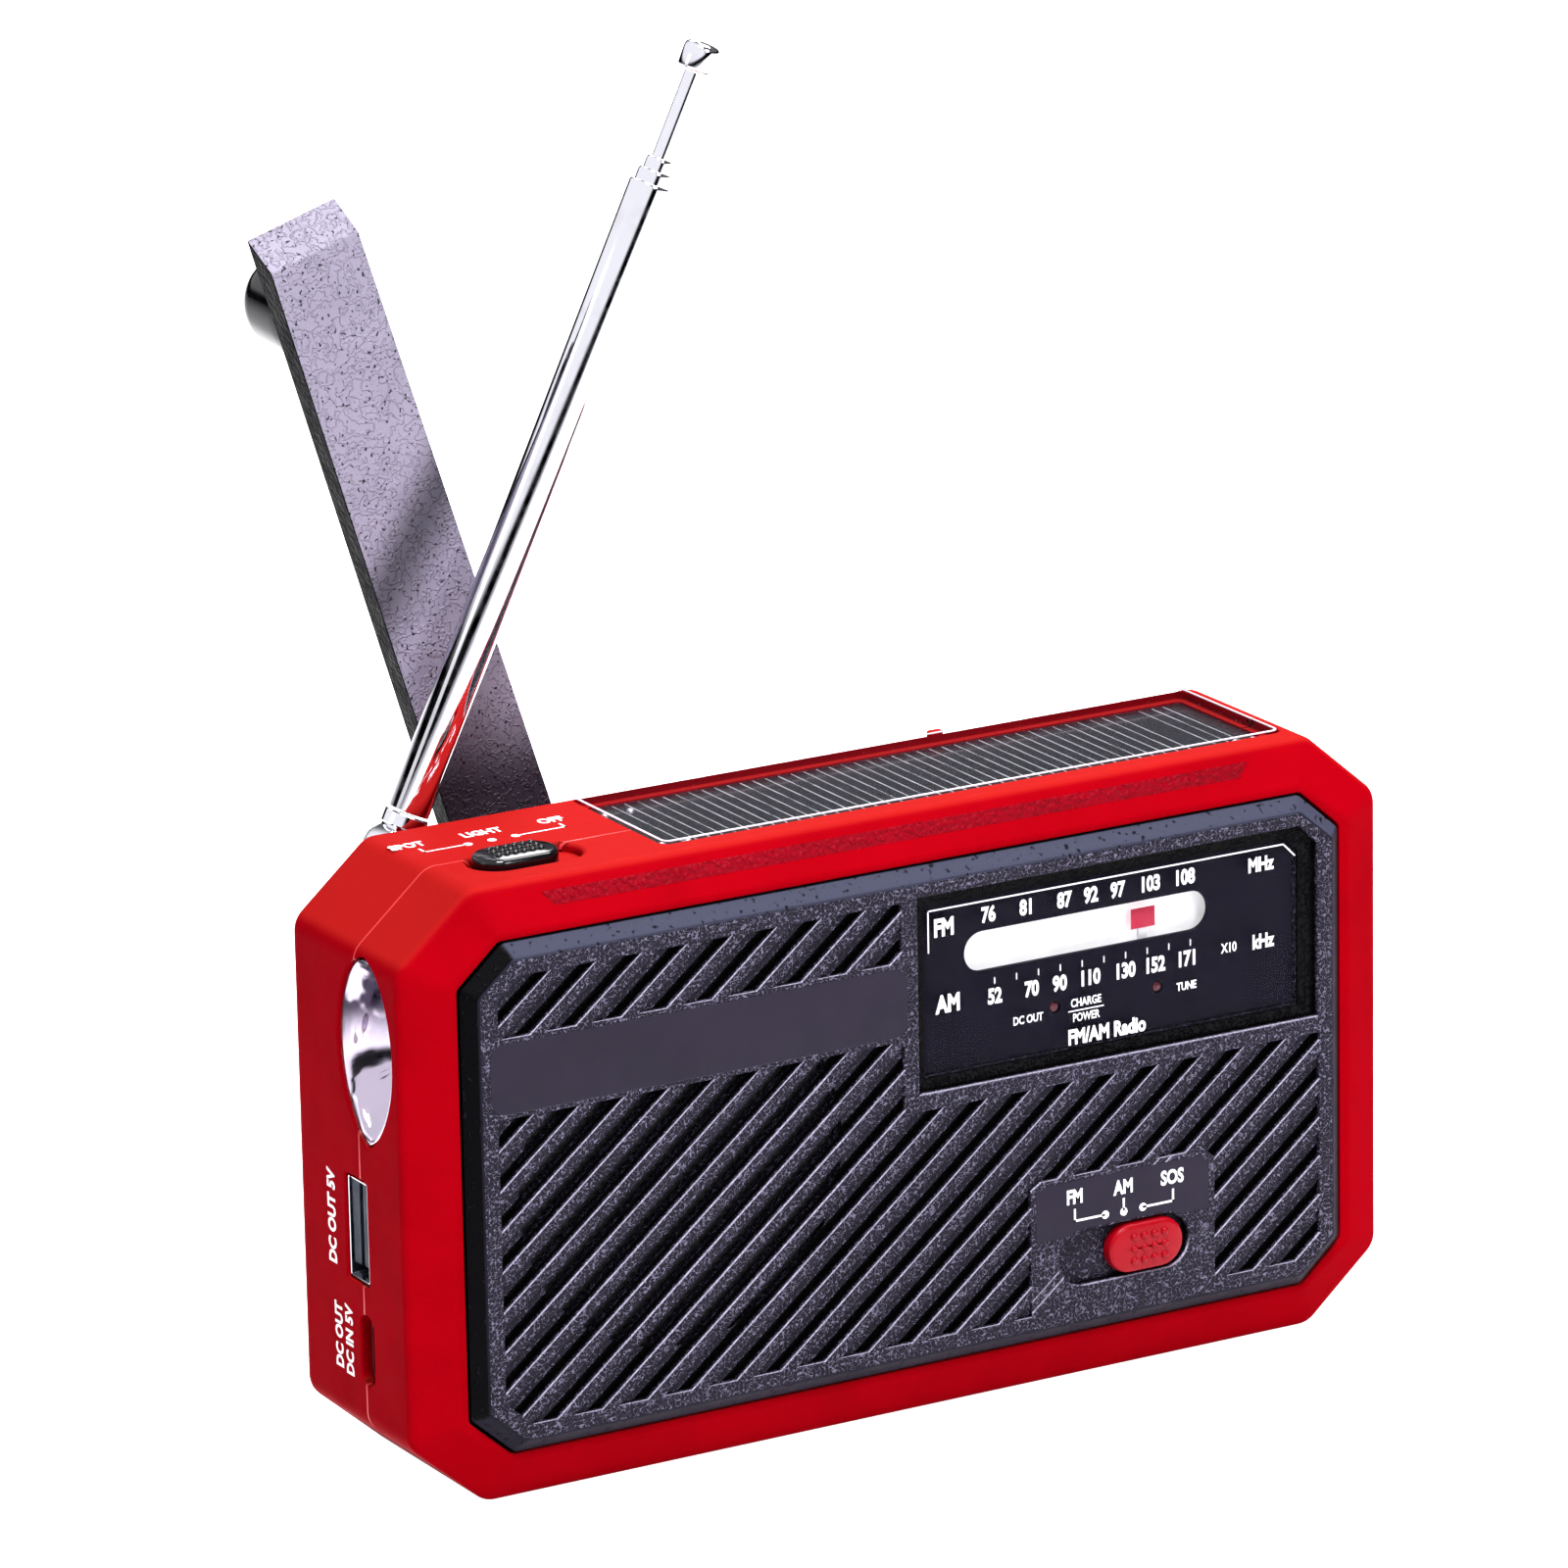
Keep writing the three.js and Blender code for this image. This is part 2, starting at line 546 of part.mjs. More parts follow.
function speakerCone() {
  return solid(new THREE.LatheGeometry([
    [0, -10.2], [4, -9.6], [7, -8.6], [20.5, -12.6], [21, -12.3], [7.2, -7.6], [0, -7.6],
  ].map(([r, y]) => new THREE.Vector2(r, y)), 28).translate(SPEAKER.x, 0, SPEAKER.z));
}

function speakerMagnet() {
  return rodY(SPEAKER.x, SPEAKER.z, 11.8, -6.9, 0, 28).add(rodY(SPEAKER.x, SPEAKER.z, 10, -0.5, 1, 28));
}

function speakerMesh() {
  return rodY(SPEAKER.x, SPEAKER.z, 24.6, -13.7, -13.45, 40);
}

// ---------------------------------------------------------------- top and sides

function lightKnob() {
  const y0 = LIGHT_SLOT.y0 + 0.4;
  const y1 = LIGHT_SLOT.y1 - 0.4;
  const top = slabZ(stadium(LIGHT_KNOB.x0, LIGHT_KNOB.x1, y0, y1), HALF_H - 0.9, HALF_H + 1.4, 6);
  return top.add(block(LIGHT_STEM.x0, LIGHT_STEM.x1, -4.6, -2.8, HALF_H - 4.4, HALF_H - 0.8));
}

function lightSwitchBody() {
  const body = block(-56, -42, -7, -0.4, HALF_H - 8.5, HALF_H - 2.4);
  return body.subtract(block(-54, -43.2, -5.2, -2.2, HALF_H - 5, HALF_H));
}

function solarCover() {
  return block(SOLAR.x0 + GAP, SOLAR.x1 - GAP, SOLAR.y0 + GAP, SOLAR.y1 - GAP, HALF_H - 1, HALF_H + 0.15);
}

function solarPanel() {
  return block(SOLAR.x0 + 1.5, SOLAR.x1 - 1.5, SOLAR.y0 + 1.5, 13.9, HALF_H - 3.2, HALF_H - 1.4);
}

function ovalRing(x, grow) {
  return torchOutline(grow).map(([y, z]) => [x, y, z]);
}

// skins ovals that lie across X, each a list of points, into one closed body
function loftX(rings) {
  const count = rings[0].length;
  const index = [];
  for (let ring = 0; ring + 1 < rings.length; ring += 1) {
    for (let i = 0; i < count; i += 1) {
      const a = ring * count + i;
      const b = ring * count + (i + 1) % count;
      index.push(a, b, a + count);
      index.push(b, b + count, a + count);
    }
  }
  const last = (rings.length - 1) * count;
  for (let i = 1; i + 1 < count; i += 1) {
    index.push(0, i + 1, i);
    index.push(last, last + i, last + i + 1);
  }
  const geometry = new THREE.BufferGeometry();
  geometry.setAttribute('position', new THREE.Float32BufferAttribute(rings.flat(2), 3));
  geometry.setIndex(index);
  return solid(geometry);
}

function torchLens() {
  return loftX([ovalRing(-72.9, -3.2), ovalRing(-72.4, -1.2), ovalRing(-71.9, 0), ovalRing(-70.9, 0)]);
}

function torchReflector() {
  const bowl = loftX([ovalRing(-70.6, 0), ovalRing(-66, -1.4), ovalRing(-61, -3.9)]);
  const hollow = loftX([ovalRing(-71, -0.8), ovalRing(-66, -2.2), ovalRing(-61.8, -4.9)]);
  return bowl.subtract(hollow).subtract(rodX(TORCH.y, TORCH.z, 1.7, -64, -58, 16));
}

function torchLed() {
  return rodX(TORCH.y, TORCH.z, 1.4, -62.6, -60.7, 16).add(block(-60.8, -59.6, -5.8, -0.8, 14, 22.8));
}

function usbAShell() {
  const tube = block(-71.7, -58, USB_A.y0, USB_A.y1, USB_A.z0, USB_A.z1);
  const inside = block(-75, -59, USB_A.y0 + 0.35, USB_A.y1 - 0.35, USB_A.z0 + 0.35, USB_A.z1 - 0.35);
  return tube.subtract(inside);
}

function usbATongue() {
  return block(-70, -59.3, USB_A.y0 + 2.6, USB_A.y1 - 0.7, USB_A.z0 + 1, USB_A.z1 - 1);
}

function usbCShell() {
  const outside = stadium(USB_C.y0, USB_C.y1, USB_C.z0, USB_C.z1);
  const inside = stadium(USB_C.y0 + 0.3, USB_C.y1 - 0.3, USB_C.z0 + 0.3, USB_C.z1 - 0.3);
  return slabX(outside, -71.4, -64).subtract(slabX(inside, -80, -64.6));
}

function portBoard() {
  return block(-71.3 + 2, -56, 3.3, 4.7, -28, 3.4);
}

// ---------------------------------------------------------------- inside

function mainBoard() {
  return block(-6, 60, -8.4, -6.8, -30, 29).subtract(rodY(27, -30, 3, -20, 0, 16));
}

function tuningCapacitor() {
  const body = block(51.5, 69.5, -6.5, -1.2, TUNING.z - 9, TUNING.z + 9);
  return body.add(rodY(TUNING.x, TUNING.z, 3, -1.3, 3.6, 16));
}

function volumePot() {
  const body = block(57.5, 69.5, -6.5, -2.5, VOLUME.z - 6, VOLUME.z + 6);
  return body.add(rodY(VOLUME.x, VOLUME.z, 2, -2.6, 3.6, 16));
}

// a thumbwheel with notches round its edge
function thumbwheel({ x, z, r }, bore, notches) {
  const outline = [];
  for (let i = 0; i < notches * 2; i += 1) {
    const turn = (i / (notches * 2)) * Math.PI * 2;
    const reach = i % 2 ? r - 0.6 : r;
    outline.push([reach * Math.cos(turn), reach * Math.sin(turn)]);
  }
  const [y0, y1] = WHEEL_Y;
  const disc = slabY(polygon(outline), y0, y1);
  return disc.subtract(rodY(0, 0, bore, y0 - 1, y1 - 0.8, 16)).translate([x, 0, z]);
}

function gearWheel(teeth, bore, y0, y1, phase) {
  const pitchR = (GEAR_MODULE * teeth) / 2;
  const step = (Math.PI * 2) / teeth;
  const outline = [];
  for (let i = 0; i < teeth; i += 1) {
    const middle = i * step + phase;
    const corner = (r, part) => [r * Math.cos(middle + part * step), r * Math.sin(middle + part * step)];
    outline.push(corner(pitchR - 1.15, -0.27), corner(pitchR + 0.75, -0.1));
    outline.push(corner(pitchR + 0.75, 0.1), corner(pitchR - 1.15, 0.27));
  }
  return slabY(polygon(outline), y0, y1).subtract(rodY(0, 0, bore, y0 - 1, y1 + 1, 20));
}

const DRIVE_TO_STEP = THREE.MathUtils.degToRad(-36.9);
const STEP_TO_PINION = THREE.MathUtils.degToRad(-53.1);
const STEP_REACH = (GEAR_MODULE * (TEETH.drive + TEETH.stepSmall)) / 2 + GEAR_SLACK;
const PINION_REACH = (GEAR_MODULE * (TEETH.stepLarge + TEETH.pinion)) / 2 + GEAR_SLACK;
const STEP_AT = {
  x: HUB.x + STEP_REACH * Math.cos(DRIVE_TO_STEP),
  z: HUB.z + STEP_REACH * Math.sin(DRIVE_TO_STEP),
};
const PINION_AT = {
  x: STEP_AT.x + PINION_REACH * Math.cos(STEP_TO_PINION),
  z: STEP_AT.z + PINION_REACH * Math.sin(STEP_TO_PINION),
};

function stepGear() {
  const small = Math.PI / TEETH.stepSmall;
  const pinion = gearWheel(TEETH.stepSmall, 1.5, 7.6, STEP_Y[0] + 0.1, DRIVE_TO_STEP + Math.PI + small);
  return pinion.add(gearWheel(TEETH.stepLarge, 1.5, ...STEP_Y, STEP_TO_PINION));
}

function generatorPinion() {
  const half = Math.PI / TEETH.pinion;
  const gear = gearWheel(TEETH.pinion, 0.5, 11.6, 15.2, STEP_TO_PINION + Math.PI + half);
  return gear.add(rodY(0, 0, 1, 6.3, 15.2, 16));
}

function gearboxPlate() {
  const plate = block(-44, 6, 5, 6.4, -10, 34);
  const holes = addAll([
    rodY(HUB.x, HUB.z, 2.8, 0, 10, 24),
    rodY(STEP_AT.x, STEP_AT.z, 1.5, 0, 10, 16),
    rodY(PINION_AT.x, PINION_AT.z, 3, 0, 10, 16),
  ]);
  return plate.subtract(holes);
}

function generatorCan() {
  return rodY(PINION_AT.x, PINION_AT.z, 10, -5.6, 4.6, 28)
    .add(rodY(PINION_AT.x, PINION_AT.z, 2.6, 4.5, 5.9, 16));
}

function ferriteRod() {
  return rodX(10, -31, 3.6, 21, 57, 16);
}

function ferriteCoil() {
  return rodX(10, -31, 4.9, 30, 44, 20).subtract(rodX(10, -31, 3.9, 20, 60, 20));
}

function batteryTray() {
  const tray = block(-55, 19, 2.4, 12.5, -34.4, -16.4);
  const reach = CELL.r + GAP;
  return tray.subtract(block(CELL.x0 - 3.4, CELL.x1 + 2, 3.4, 30, CELL.z - reach, CELL.z + reach));
}

function batteryCell() {
  return rodX(CELL.y, CELL.z, CELL.r, CELL.x0, CELL.x1, 32);
}

class Helix extends THREE.Curve {
  constructor(radius, turns, length) {
    super();
    this.radius = radius;
    this.turns = turns;
    this.length = length;
  }

  getPoint(t, target = new THREE.Vector3()) {
    const turn = t * this.turns * Math.PI * 2;
    return target.set(t * this.length, this.radius * Math.cos(turn), this.radius * Math.sin(turn));
  }
}

function batterySpring() {
  const wire = new THREE.Shape();
  wire.absarc(0, 0, 0.35, 0, Math.PI * 2);
  const path = new Helix(3.4, 2, 1.8);
  const options = { extrudePath: path, steps: 32, curveSegments: 3, bevelEnabled: false };
  return solid(new THREE.ExtrudeGeometry(wire, options).translate(CELL.x0 - 2.6, CELL.y, CELL.z));
}

// ---------------------------------------------------------------- crank, drawn upright about its hub

function crankHub() {
  const disc = rodY(0, 0, 11.1, HUB_FLOOR + 0.5, RECESS_FLOOR, 32);
  const shaft = rodY(0, 0, 2.5, 5, HUB_FLOOR + 1, 24);
  const ear = (side) => {
    const x0 = side > 0 ? 4.6 : -7;
    return rodX(PIN_Y, 0, 2.5, x0, x0 + 2.4, 16)
      .add(block(x0, x0 + 2.4, RECESS_FLOOR - 1, PIN_Y, -2.5, 2.5));
  };
  return disc.add(shaft).add(ear(1)).add(ear(-1)).subtract(rodX(PIN_Y, 0, 1.3, -10, 10, 16));
}

function hingePin() {
  return rodX(PIN_Y, 0, 1, -6.8, 6.8, 16);
}

function armPlate() {
  const front = PIN_Y + ARM.front;
  const back = front + ARM.thick;
  const profile = polygon([
    [front, 3.3], [back, 3.3], [back, ARM.length + ARM.chamfer], [front, ARM.length],
  ]);
  const bar = slabX(profile, -12, 12);
  const half = (u) => THREE.MathUtils.lerp(ARM.halfBase, ARM.halfTip, u / ARM.length);
  const sides = polygon([
    [-half(0), 0], [half(0), 0], [half(ARM.length), ARM.length], [half(ARM.length), ARM.length + 8],
    [-half(ARM.length), ARM.length + 8], [-half(ARM.length), ARM.length],
  ]);
  return bar.intersect(slabY(sides, front - 1, back + 1));
}

function crankArm() {
  const back = PIN_Y + ARM.front + ARM.thick;
  const knuckle = rodX(PIN_Y, 0, 2.5, -4.2, 4.2, 16).add(block(-4.2, 4.2, PIN_Y + 0.4, PIN_Y + 2.5, 0, 4));
  const hollow = block(-4.6, 4.6, back - 2.4, back + 1, 12, KNOB_U - 8);
  return armPlate().add(knuckle).subtract(rodX(PIN_Y, 0, 1.3, -10, 10, 16)).subtract(hollow)
    .subtract(rodY(0, KNOB_U, 1.5, back - 3, back + 2, 16));
}

function knobPost() {
  const back = PIN_Y + ARM.front + ARM.thick;
  return rodY(0, KNOB_U, 1.2, back - 2.7, back + 9, 12).add(rodY(0, KNOB_U, 2.3, back + 8.6, back + 9.8, 16));
}

function crankKnob() {
  const start = PIN_Y + ARM.front + ARM.thick + 0.4;
  const length = 12.4;
  const r = 6.3;
  const knob = turnedY([
    [0, 0], [4.6, 0], [r - 0.4, 0.8], [r, 2.2], [r, length - 4.2], [r - 0.7, length - 2.2],
    [r - 2.2, length - 0.7], [2.4, length], [0, length],
  ], 24).translate([0, start, KNOB_U]);
  return knob.subtract(rodY(0, KNOB_U, 1.6, start - 1, start + 8, 16))
    .subtract(rodY(0, KNOB_U, 2.7, start + 7.8, start + 30, 16));
}

// ---------------------------------------------------------------- antenna, drawn upright about its bolt

function antennaBolt() {
  return addAll([
    rodY(0, 0, 1.4, 12.6, 23.6, 12),
    rodY(0, 0, 2.1, 10.8, 12.9, 6),
    rodY(0, 0, 2.4, 23.1, 24.3, 16),
  ]).subtract(block(-1.8, 1.8, 23.8, 26, -0.35, 0.35));
}

function antennaKnuckle() {
  const y = ANTENNA.y;
  const eye = rodY(0, 0, 3.3, y - 2, y + 2, 20);
  const neck = block(-2, 2, y - 2, y + 2, 0, MAST.start - 0.3);
  const plug = rodZ(0, y, 2.1, MAST.start - 0.4, MAST.start + 1.2, 16);
  const collar = rodZ(0, y, 2.95, 3, MAST.start - GAP, 16);
  return addAll([eye, neck, plug, collar]).subtract(rodY(0, 0, 1.7, y - 4, y + 4, 16));
}

// section 0 is the outer tube; each next one slides in it and stands a step further out
function mastTube(section) {
  const r = MAST.radii[section];
  const inner = r - MAST.wall;
  const start = MAST.start + section * 2;
  const end = MAST.end + section * MAST.step;
  const tube = rodZ(0, ANTENNA.y, r, start, end, 16);
  return tube.subtract(rodZ(0, ANTENNA.y, inner, start - 1, end + 1, 16));
}

function antennaRod() {
  return rodZ(0, ANTENNA.y, ROD.r, ROD.start, ROD.end, 12);
}

function antennaCap() {
  const { r, length } = CAP;
  const cap = new THREE.LatheGeometry([
    [0, 0], [r - 0.3, 0], [r, 0.4], [r, length - 0.9], [r - 0.5, length - 0.2], [0, length],
  ].map(([a, b]) => new THREE.Vector2(a, b)), 20).rotateX(Math.PI / 2);
  return solid(cap.translate(0, ANTENNA.y, ROD.end + 0.1));
}

// ---------------------------------------------------------------- assembly

const radio = new THREE.Group();
const casing = new THREE.Group();
casing.position.z = HALF_H;
radio.add(casing);

casing.add(
  part('front_shell', frontShell(), RED),
  part('rear_shell', rearShell(), RED),
  part('battery_door', batteryDoor(), RED),
  part('front_grille', frontGrille(), SLATE),
  part('label_strip', labelStrip(), GREY),
  part('dial_window', dialWindow(), CLEAR),
  part('dial_plate', dialPlate(), GLOSS_BLACK),
  part('scale_backing', scaleBacking(), WHITE),
  part('tuning_pointer', tuningPointer(), PINK),
  part('charge_led', dialLed(CHARGE_LED_X), PINK),
  part('tune_led', dialLed(TUNE_LED_X), PINK),
  part('mode_switch_knob', modeKnob(), RED),
  part('mode_switch_body', modeSwitchBody(), STEEL),
  part('light_switch_knob', lightKnob(), GLOSS_BLACK),
  part('light_switch_body', lightSwitchBody(), STEEL),
  part('speaker_mesh', speakerMesh(), GLOSS_BLACK),
  part('speaker_frame', speakerFrame(), STEEL),
  part('speaker_cone', speakerCone(), FERRITE),
  part('speaker_magnet', speakerMagnet(), FERRITE),
  part('solar_cover', solarCover(), CLEAR),
  part('solar_panel', solarPanel(), SOLAR_BLACK),
  part('flashlight_lens', torchLens(), CLEAR),
  part('flashlight_reflector', torchReflector(), CHROME),
  part('flashlight_led', torchLed(), WHITE),
  part('usb_a_shell', usbAShell(), CHROME),
  part('usb_a_tongue', usbATongue(), WHITE),
  part('usb_c_shell', usbCShell(), CHROME),
  part('port_board', portBoard(), GREEN),
  part('main_board', mainBoard(), GREEN),
  part('tuning_capacitor', tuningCapacitor(), WHITE),
  part('volume_pot', volumePot(), STEEL),
  part('tuning_wheel', thumbwheel(TUNING, 3.4, 40), GLOSS_BLACK),
  part('volume_wheel', thumbwheel(VOLUME, 2.4, 30), GLOSS_BLACK),
  part('gearbox_plate', gearboxPlate(), STEEL),
  part('generator_can', generatorCan(), STEEL),
  part('ferrite_rod', ferriteRod(), FERRITE),
  part('ferrite_coil', ferriteCoil(), COPPER),
  part('battery_tray', batteryTray(), GLOSS_BLACK),
  part('battery_cell', batteryCell(), BLUE),
  part('battery_spring', batterySpring(), STEEL),
);
SCREW_PLACES.forEach((place, i) => casing.add(part(`case_screw_${i + 1}`, caseScrew(place), STEEL)));

const stepAxle = new THREE.Group();
stepAxle.position.set(STEP_AT.x, 0, STEP_AT.z);
stepAxle.add(
  part('step_gear', stepGear(), NYLON),
  part('step_shaft', rodY(0, 0, 1.2, 4, 17.6, 16), STEEL),
);
casing.add(stepAxle);

const generatorAxle = new THREE.Group();
generatorAxle.position.set(PINION_AT.x, 0, PINION_AT.z);
generatorAxle.add(part('generator_pinion', generatorPinion(), BRASS));
casing.add(generatorAxle);

const driveAxle = new THREE.Group();
driveAxle.position.set(HUB.x, 0, HUB.z);
driveAxle.add(part('drive_gear', gearWheel(TEETH.drive, 2.8, ...DRIVE_Y, DRIVE_TO_STEP), NYLON));
casing.add(driveAxle);

const crank = new THREE.Group();
crank.position.set(HUB.x, 0, HUB.z);
crank.rotation.y = -CRANK_LEAN;
crank.add(
  part('crank_hub', crankHub(), GREY),
  part('crank_hinge_pin', hingePin(), STEEL),
  part('crank_arm', crankArm(), GREY),
  part('crank_knob_post', knobPost(), STEEL),
  part('crank_knob', crankKnob(), GLOSS_BLACK),
);
casing.add(crank);

const antenna = new THREE.Group();
antenna.position.set(ANTENNA.x, 0, ANTENNA.z);
antenna.rotation.y = ANTENNA_LEAN;
antenna.add(
  part('antenna_bolt', antennaBolt(), STEEL),
  part('antenna_knuckle', antennaKnuckle(), CHROME),
  part('antenna_tube_1', mastTube(0), CHROME),
  part('antenna_tube_2', mastTube(1), CHROME),
  part('antenna_tube_3', mastTube(2), CHROME),
  part('antenna_rod', antennaRod(), CHROME),
  part('antenna_cap', antennaCap(), CHROME),
);
casing.add(antenna);

export default radio;
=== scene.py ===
# Looks of a hand-crank emergency radio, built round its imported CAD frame.
# Sizes are in millimetres about the middle of the case, and placed in metres at the end.
from math import cos, hypot, pi, radians, sin, sqrt, tan

import bmesh
import bpy
from mathutils import Matrix, Vector


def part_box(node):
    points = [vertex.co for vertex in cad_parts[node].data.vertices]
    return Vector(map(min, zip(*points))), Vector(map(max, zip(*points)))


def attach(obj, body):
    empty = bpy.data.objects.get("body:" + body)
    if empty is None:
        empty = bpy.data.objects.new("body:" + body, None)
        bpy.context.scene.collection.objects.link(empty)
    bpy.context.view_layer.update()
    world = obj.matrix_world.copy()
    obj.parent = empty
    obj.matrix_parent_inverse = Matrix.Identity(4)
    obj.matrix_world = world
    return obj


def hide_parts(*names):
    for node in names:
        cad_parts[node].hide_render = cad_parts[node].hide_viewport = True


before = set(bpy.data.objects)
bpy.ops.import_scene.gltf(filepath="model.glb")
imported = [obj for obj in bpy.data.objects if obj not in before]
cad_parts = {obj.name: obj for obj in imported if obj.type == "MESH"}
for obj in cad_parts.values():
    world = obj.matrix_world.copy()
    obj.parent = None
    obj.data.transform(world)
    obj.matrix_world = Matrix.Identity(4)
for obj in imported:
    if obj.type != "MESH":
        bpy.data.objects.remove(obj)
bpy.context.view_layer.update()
MM = 0.001
SHELL_LOW, SHELL_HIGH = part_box("front_shell")
HALF_W = SHELL_HIGH.x / MM
HALF_H = (SHELL_HIGH.z - SHELL_LOW.z) / MM / 2

# ---------------------------------------------------------------- driving sizes

CHAMFER_X = 10.6
CHAMFER_Z = 9.2
CORNER_R = 3.5
WALL = 2.0
GAP = 0.3
Y_PANEL = -16.5
Y_LABEL = -16.55
Y_MODE_PLATE = -16.54
Y_GLASS = -15.9
Y_LIP = -14.8
Y_DIAL = -14.6
Y_BEVEL = -12.4
Y_FRONT_SIDE = -11.5
BEVEL_START = (0.95, -12.793)
BEVEL_END = (4.6, -14.3)
Y_PARTING = -1.0
Y_REAR_SIDE = 14.3
Y_SIDE_END = 16.5
Y_BACK = 26.0
PLATE_BACK = -13.9
# The raised back at three depths, as half width, bottom, top and corner cut.
BACK_FOOT = (68.88, -37.35, 31.93, 9)
BACK_LOW = (66.5, -35.45, 31.37, 8.5)
BACK_MIDDLE = (65.9, -34.9, 31.2, 8.3)
BACK_HIGH = (63.2, -32.6, 29.3, 7.4)
PANEL = (62.7, 31.5, 5.0, 4.35)
PANEL_BASE = (64.5, 33.3, 6.0, 5.3)

RIB_SLOPE = 0.82
RIB_STEP = 5.3
RIB_FIRST = 77.8
RIB_COUNT = 30
GROOVE_W = 1.4
STEP_W = 2.5
SLOT_W = 2.0
GROOVE_DEPTH = 1.25
STEP_DEPTH = 0.45
SLOT_FLOOR = 1.5
GRIP_UPPER = (51.8, 38.5)
GRIP_LOWER = (50.2, 36.7)
SPEAKER_X = -34.4
SPEAKER_R = 23.3
SPEAKER_TOP = 10.9
LEAST_STRIP_AREA = 1.2
UPPER_RIBS = [(-60, 21.6), (-2.2, 21.6), (-2.2, 29.3), (-57.5, 29.3), (-60, 27)]
LOWER_RIBS = [
    (-60.3, -26.2), (-56.6, -29.4), (16.4, -29.4), (16.4, -12.4), (18, -11.4), (42.8, -11.4),
    (44.4, -12.8), (44.4, -29.4), (56.8, -29.4), (60.5, -26.2), (60.5, 1.2), (-2, 1.2), (-2, 11),
    (-60.3, 11),
]
# The strips whose line starts in this band are parted by the mode switch's patch.
MODE_SPLIT_X = 17.2
MODE_SPLIT_BAND = (-42.85, -25.85)
MODE_PLATE = [(17.2, -19.6), (43.4, -19.6), (43.4, -13.4), (42.2, -12.2), (18.6, -12.2), (17.2, -13.0)]

LABEL = (-61.3, -1.5, 11.8, 20.8)
DIAL = (0.3, 60.3, 3.6, 29.6)
DIAL_CUT = 2.6
WINDOW = (1.8, 57.6, 5.5, 27.7)
WINDOW_CUT = 1.8
SCALE_SLOT = (8.2, 44.8, 17.7, 23)
POINTER = (33.8, 37.4, 19, 21.7)
LED_Z = 11.0
CHARGE_LED_X = 21.5
TUNE_LED_X = 37.0
MODE_SLOT = (20.7, 40.3, -26.5, -19.2)
MODE_KNOB = (28, 39.3, -26.15, -19.55)
MODE_STEM = (35.4, 38.2)
MODE_HOLE = (28.7, 38.5)
LIGHT_SLOT = (-56.5, -41.3, -7.4, 0.1)
LIGHT_KNOB = (-56, -44.5, -7, -0.3)
LIGHT_STEM = (-51.7, -48.8)
LIGHT_HOLE = (-52, -45.6)
SOLAR = (-32, 60, -8.9, 15.5)
TORCH = {"y": -3.3, "z": 18.4, "half_y": 6.7, "half_z": 12.1}
BOWL_RIM = -71.5
BOWL_DEPTH = 9.4
USB_A = (-2.3, 2.9, -12.5, 0.9)
USB_C = (-3, -0.1, -25.7, -16.9)

HUB_X = -31.0
HUB_Z = 20.75
CRANK_LEAN = radians(17.35)
PIN_Y = 26.6
ARM_FRONT = 27.0
ARM_THICK = 4.2
ARM_START = 3.3
ARM_LENGTH = 96.5
ARM_TIP_SLANT = 3.8
ARM_HALF_FOOT = 7.25
ARM_HALF_TIP = 6.5
KNUCKLE_HALF = 4.2
KNOB_U = 87.0
KNOB_R = 6.3
KNOB_LENGTH = 12.2
KNOB_DOME = 4.6
KNOB_HOLE_R = 2.4
EYE_R = 2.5
RECESS_FLOOR = 21.2
HUB_FLOOR = 18.0
HUB_R = 11.1
HUB_WELL_R = 11.6
CHANNEL_HALF = 8.5
CHANNEL_END_R = 12
POCKET_R = 7.4
POCKET_FLOOR = 8.4
POCKET_X = HUB_X + KNOB_U

ANTENNA = (-54.8, 20.5, 35.95)
ANTENNA_LEAN = radians(25.92)
MAST_START = 5.2
MAST_END = 90.2
MAST_RADII = (2.75, 2.2, 1.7)
MAST_STEP = 1.7
ROD = (1.15, 18.2, 105.2)

TUNING = (60.8, 12.5, 15.0)
VOLUME = (63.8, -15.8, 12.0)
WHEEL_Y = (-0.2, 4.8)
DOOR = (-50, 16, -32.4, -15.4)
DOOR_TRAVEL = 5.0
SCREW_HOLE_R = 3
SCREW_HOLE_DEPTH = 6.6
SCREWS = [(x, z) for x in (-63.5, 63.5) for z in (-33.25, 33.25)]

CASE = Matrix.Translation((0, 0, HALF_H))
CRANK = CASE @ Matrix.Translation((HUB_X, 0, HUB_Z)) @ Matrix.Rotation(-CRANK_LEAN, 4, "Y")
MAST = CASE @ Matrix.Translation((ANTENNA[0], 0, ANTENNA[2])) @ Matrix.Rotation(ANTENNA_LEAN, 4, "Y")

# ---------------------------------------------------------------- outlines, as (a, b) pairs


def bend(start, middle, end, t):
    """A point on the curve from start to end that leans towards the middle."""
    return start * (1 - t) ** 2 + middle * 2 * t * (1 - t) + end * t * t


def quarter_turn(steps, first=0):
    """(cosine, sine) pairs from 0 to 90 degrees."""
    turns = [k / steps * pi / 2 for k in range(first, steps + 1)]
    return [(cos(turn), sin(turn)) for turn in turns]


def widen(rect, reach):
    """A rectangle as (a0, a1, b0, b1), moved out on every side."""
    return rect[0] - reach, rect[1] + reach, rect[2] - reach, rect[3] + reach


def round_corners(corners, radius, steps=8):
    points = []
    for i, corner in enumerate(corners):
        here = Vector(corner)
        before = (Vector(corners[i - 1]) - here).normalized()
        after = (Vector(corners[(i + 1) % len(corners)]) - here).normalized()
        half = before.angle(after) / 2
        start = here + before * (radius / tan(half))
        end = here + after * (radius / tan(half))
        points += [tuple(bend(start, here, end, k / steps)) for k in range(steps + 1)]
    return points


